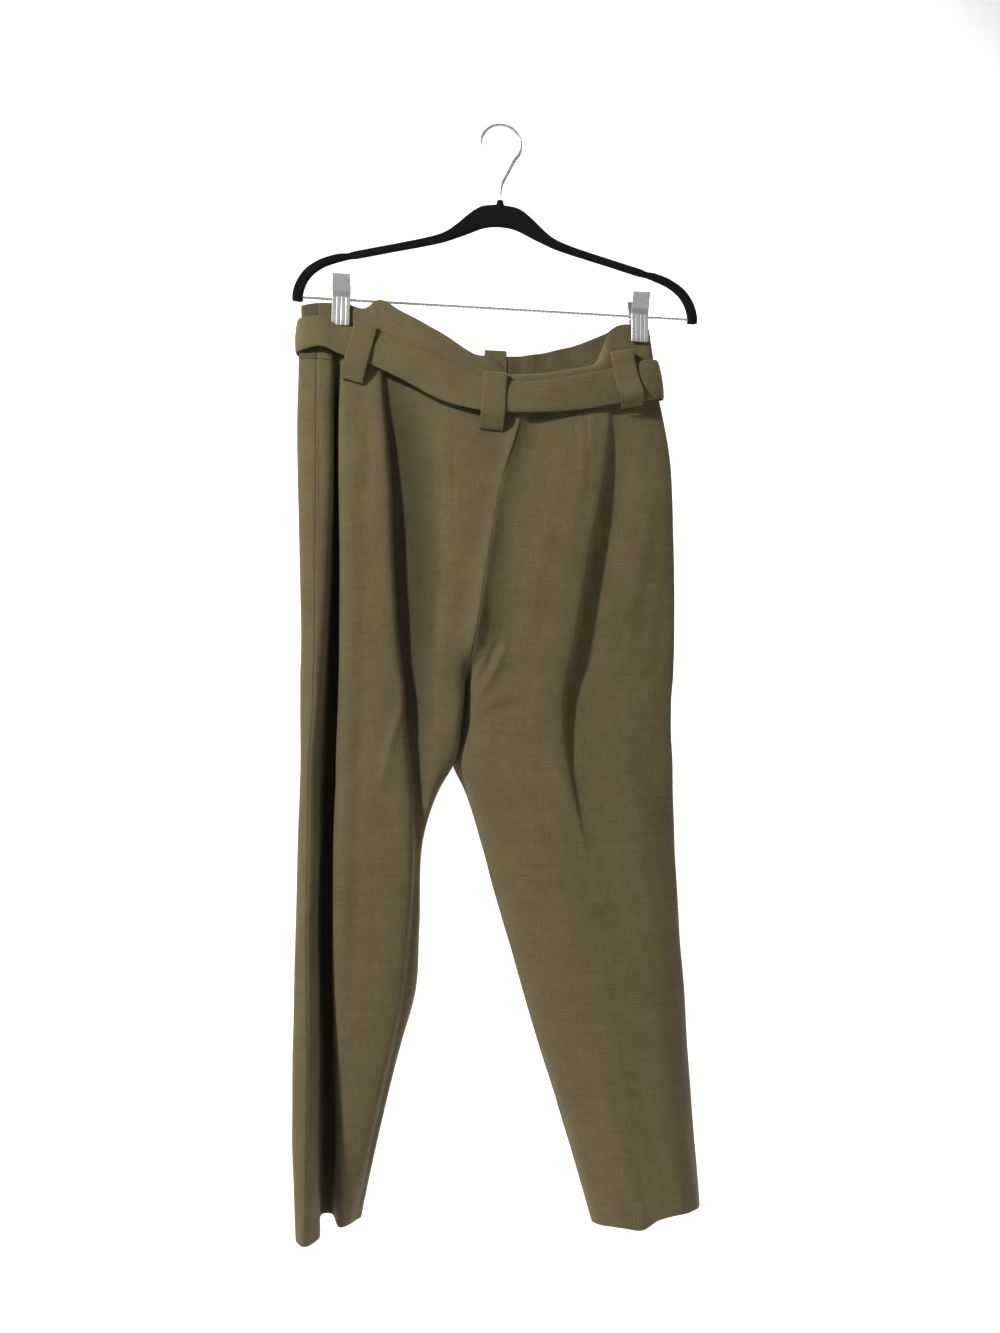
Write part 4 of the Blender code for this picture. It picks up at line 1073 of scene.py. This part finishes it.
def build_belt(cloth):
    rows = np.array(BELT, float)
    extended = np.concatenate([rows[-3:], rows, rows[:3]])
    path = around(extended, 3 + np.arange(len(rows) * BELT_STEPS) / BELT_STEPS)
    way = np.roll(path, -1, axis=0) - np.roll(path, 1, axis=0)
    outward = unit(np.column_stack([way[:, 4], -way[:, 0], np.zeros(len(path))]))
    top, bottom = path[:, [0, 4, 2]], path[:, [1, 5, 3]]
    length = run_along((top + bottom) / 2)
    places = np.concatenate([[0.0, 0.02, 0.05], np.linspace(0.1, 0.9, 9), [0.95, 0.98, 1.0]])
    widths = np.linalg.norm(top - bottom, axis=1)

    def point_at(k, layer, t):
        soft = 0.7 + 0.5 * uneven(np.array(length[k] / 70), np.array(0.0), 3)
        near = min(t, 1 - t) * widths[k]
        rise = (0.8 + soft) * math.sin(math.pi * t) ** 0.8 - 0.9 * math.exp(-near / 0.8) * (1 - layer)
        rise += 0.9 * math.exp(-near / 0.8) * layer * 0.6 - 2.0 * layer
        point = top[k] + (bottom[k] - top[k]) * t + outward[k] * rise
        return point, (length[k], -t * widths[k] + layer * 60), near + 0.9

    made = strip_piece("belt", len(path), places, True, cloth, point_at)


def belt_face(x, height, side):
    """y of the belt's outer face near x and height, on the back or the front."""
    rows = np.array(BELT, float)
    half = rows[BELT_BACK] if side == "back" else rows[BELT_FRONT][::-1]
    found = through(half[:, 0], half[:, 2:], np.array([x]))[0]
    share = np.clip((height - found[0]) / (found[1] - found[0]), 0.0, 1.0)
    return found[2] + (found[3] - found[2]) * share


def build_loop(cloth, name, top, bottom, top_y, bottom_y, width, belt_end, side):
    """A folded strip over the belt, its long edges pressed and its ends turned in."""
    sign = -1.0 if side == "back" else 1.0
    across = unit(np.array([top[1] - bottom[1], 0.0, bottom[0] - top[0]]))
    knots = LOOP_ROWS + (belt_end, 1.0)
    rises = LOOP_RISE + (0.0, 0.0)
    middle = []
    for t, rise in zip(knots, rises):
        x = top[0] + (bottom[0] - top[0]) * t
        z = top[1] + (bottom[1] - top[1]) * t + rise
        beneath = [sign * belt_face(x + k * across[0] * width / 2, z, side) for k in (-1, 0, 1)]
        y = sign * (max(beneath) + LOOP_STAND_OFF)
        middle.append((x, {0.0: top_y, 1.0: bottom_y}.get(t, y), z))
    middle = np.array(middle)
    spread = np.array((0.0, 0.07, 0.25, 0.5, belt_end, 1.0))
    path = through(spread, middle, np.linspace(0, 1, 34))
    length = run_along(path)
    places = np.concatenate([[0.0, 0.02, 0.06], np.linspace(0.14, 0.86, 8), [0.94, 0.98, 1.0]])

    def point_at(k, layer, t):
        near, near_end = min(t, 1 - t) * width, min(length[k], length[-1] - length[k])
        out = 0.45 * math.sin(math.pi * t) - 0.55 * math.exp(-near / 0.6) * (1 - layer)
        out -= 0.3 * math.exp(-near_end / 0.8) * (1 - layer)
        out -= 1.4 * layer - 0.25 * math.exp(-near / 0.6) * layer
        point = path[k] + across * (t - 0.5) * width + np.array([0.0, sign * out, 0.0])
        return point, ((t - 0.5) * width + 40 * layer, -length[k]), min(near, near_end) + 0.9

    made = strip_piece(name, len(path), places, False, cloth, point_at)


def build_shield(cloth):
    """The top of the fly shield, standing above the front edge."""
    low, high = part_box("fly_shield")
    left, right = low.x / MM, high.x / MM
    top, bottom = high.z / MM, low.z / MM
    rows = [top, top - 0.4, top - 1.2, *np.linspace(top - 4, bottom, 14)]
    places = np.concatenate([[0.0, 0.03, 0.09], np.linspace(0.2, 0.8, 7), [0.91, 0.97, 1.0]])

    def point_at(k, layer, t):
        z = rows[k]
        pull = 0.8 * math.exp(-(top - z) / 0.8)
        x = left + pull + (right - left - 2 * pull) * t
        wave = 0.35 * math.sin(2 * math.pi * t * 1.5 + z / 9.0)
        y = (high.y if layer else low.y) / MM + wave * 0.4
        return (x, y, z), (x + 60 * layer, z), min(min(t, 1 - t) * (right - left), top - z) + 0.9

    made = strip_piece("fly_shield", len(rows), places, False, cloth, point_at)


# In metres: points nearer than this are merged, how far flock and plating stand off, and the plates' bevel.
MERGE = 0.00002
FLOCK_DEPTH = 0.0005
PLATING_DEPTH = 0.00015
PLATE_BEVEL = 0.0004


def dress_hard_parts(flock, plating):
    """Finishes for the kept hard parts, with rounded outlines and edges."""
    for name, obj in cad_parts.items():
        if obj.hide_render:
            continue
        obj.data.materials.clear()
        obj.data.materials.append(flock if name == "hanger" else plating)
        joined = obj.modifiers.new("joined", "WELD")
        joined.merge_threshold = MERGE
        if name in ("hanger", "hook"):
            rounding = obj.modifiers.new("rounding", "SUBSURF")
            rounding.levels = 2
            rounding.render_levels = 2
            flock_depth = obj.modifiers.new("flock_depth", "DISPLACE")
            flock_depth.mid_level = 0.0
            flock_depth.strength = FLOCK_DEPTH if name == "hanger" else PLATING_DEPTH
        elif name.startswith("clip_") and name.endswith(("_front", "_back")):
            edges = obj.modifiers.new("edges", "BEVEL")
            edges.width = PLATE_BEVEL
            edges.segments = 2
            edges.limit_method = "ANGLE"
            edges.angle_limit = math.radians(40)


bpy.ops.object.select_all(action="DESELECT")
bpy.context.scene.view_settings.view_transform = "Standard"
place_camera()
build_studio()
cloth = trouser_cloth("olive_crepe")
legs = build_legs(cloth)
# The second cloth is the same crepe darkened with painted shade, for the inside of the front band.
build_band(cloth, trouser_cloth("olive_crepe_painted_shade", 0.72), legs)
build_belt(cloth)
for loop in LOOPS:
    build_loop(cloth, *loop)
build_shield(cloth)
dress_hard_parts(hanger_flock(), bright_plating())
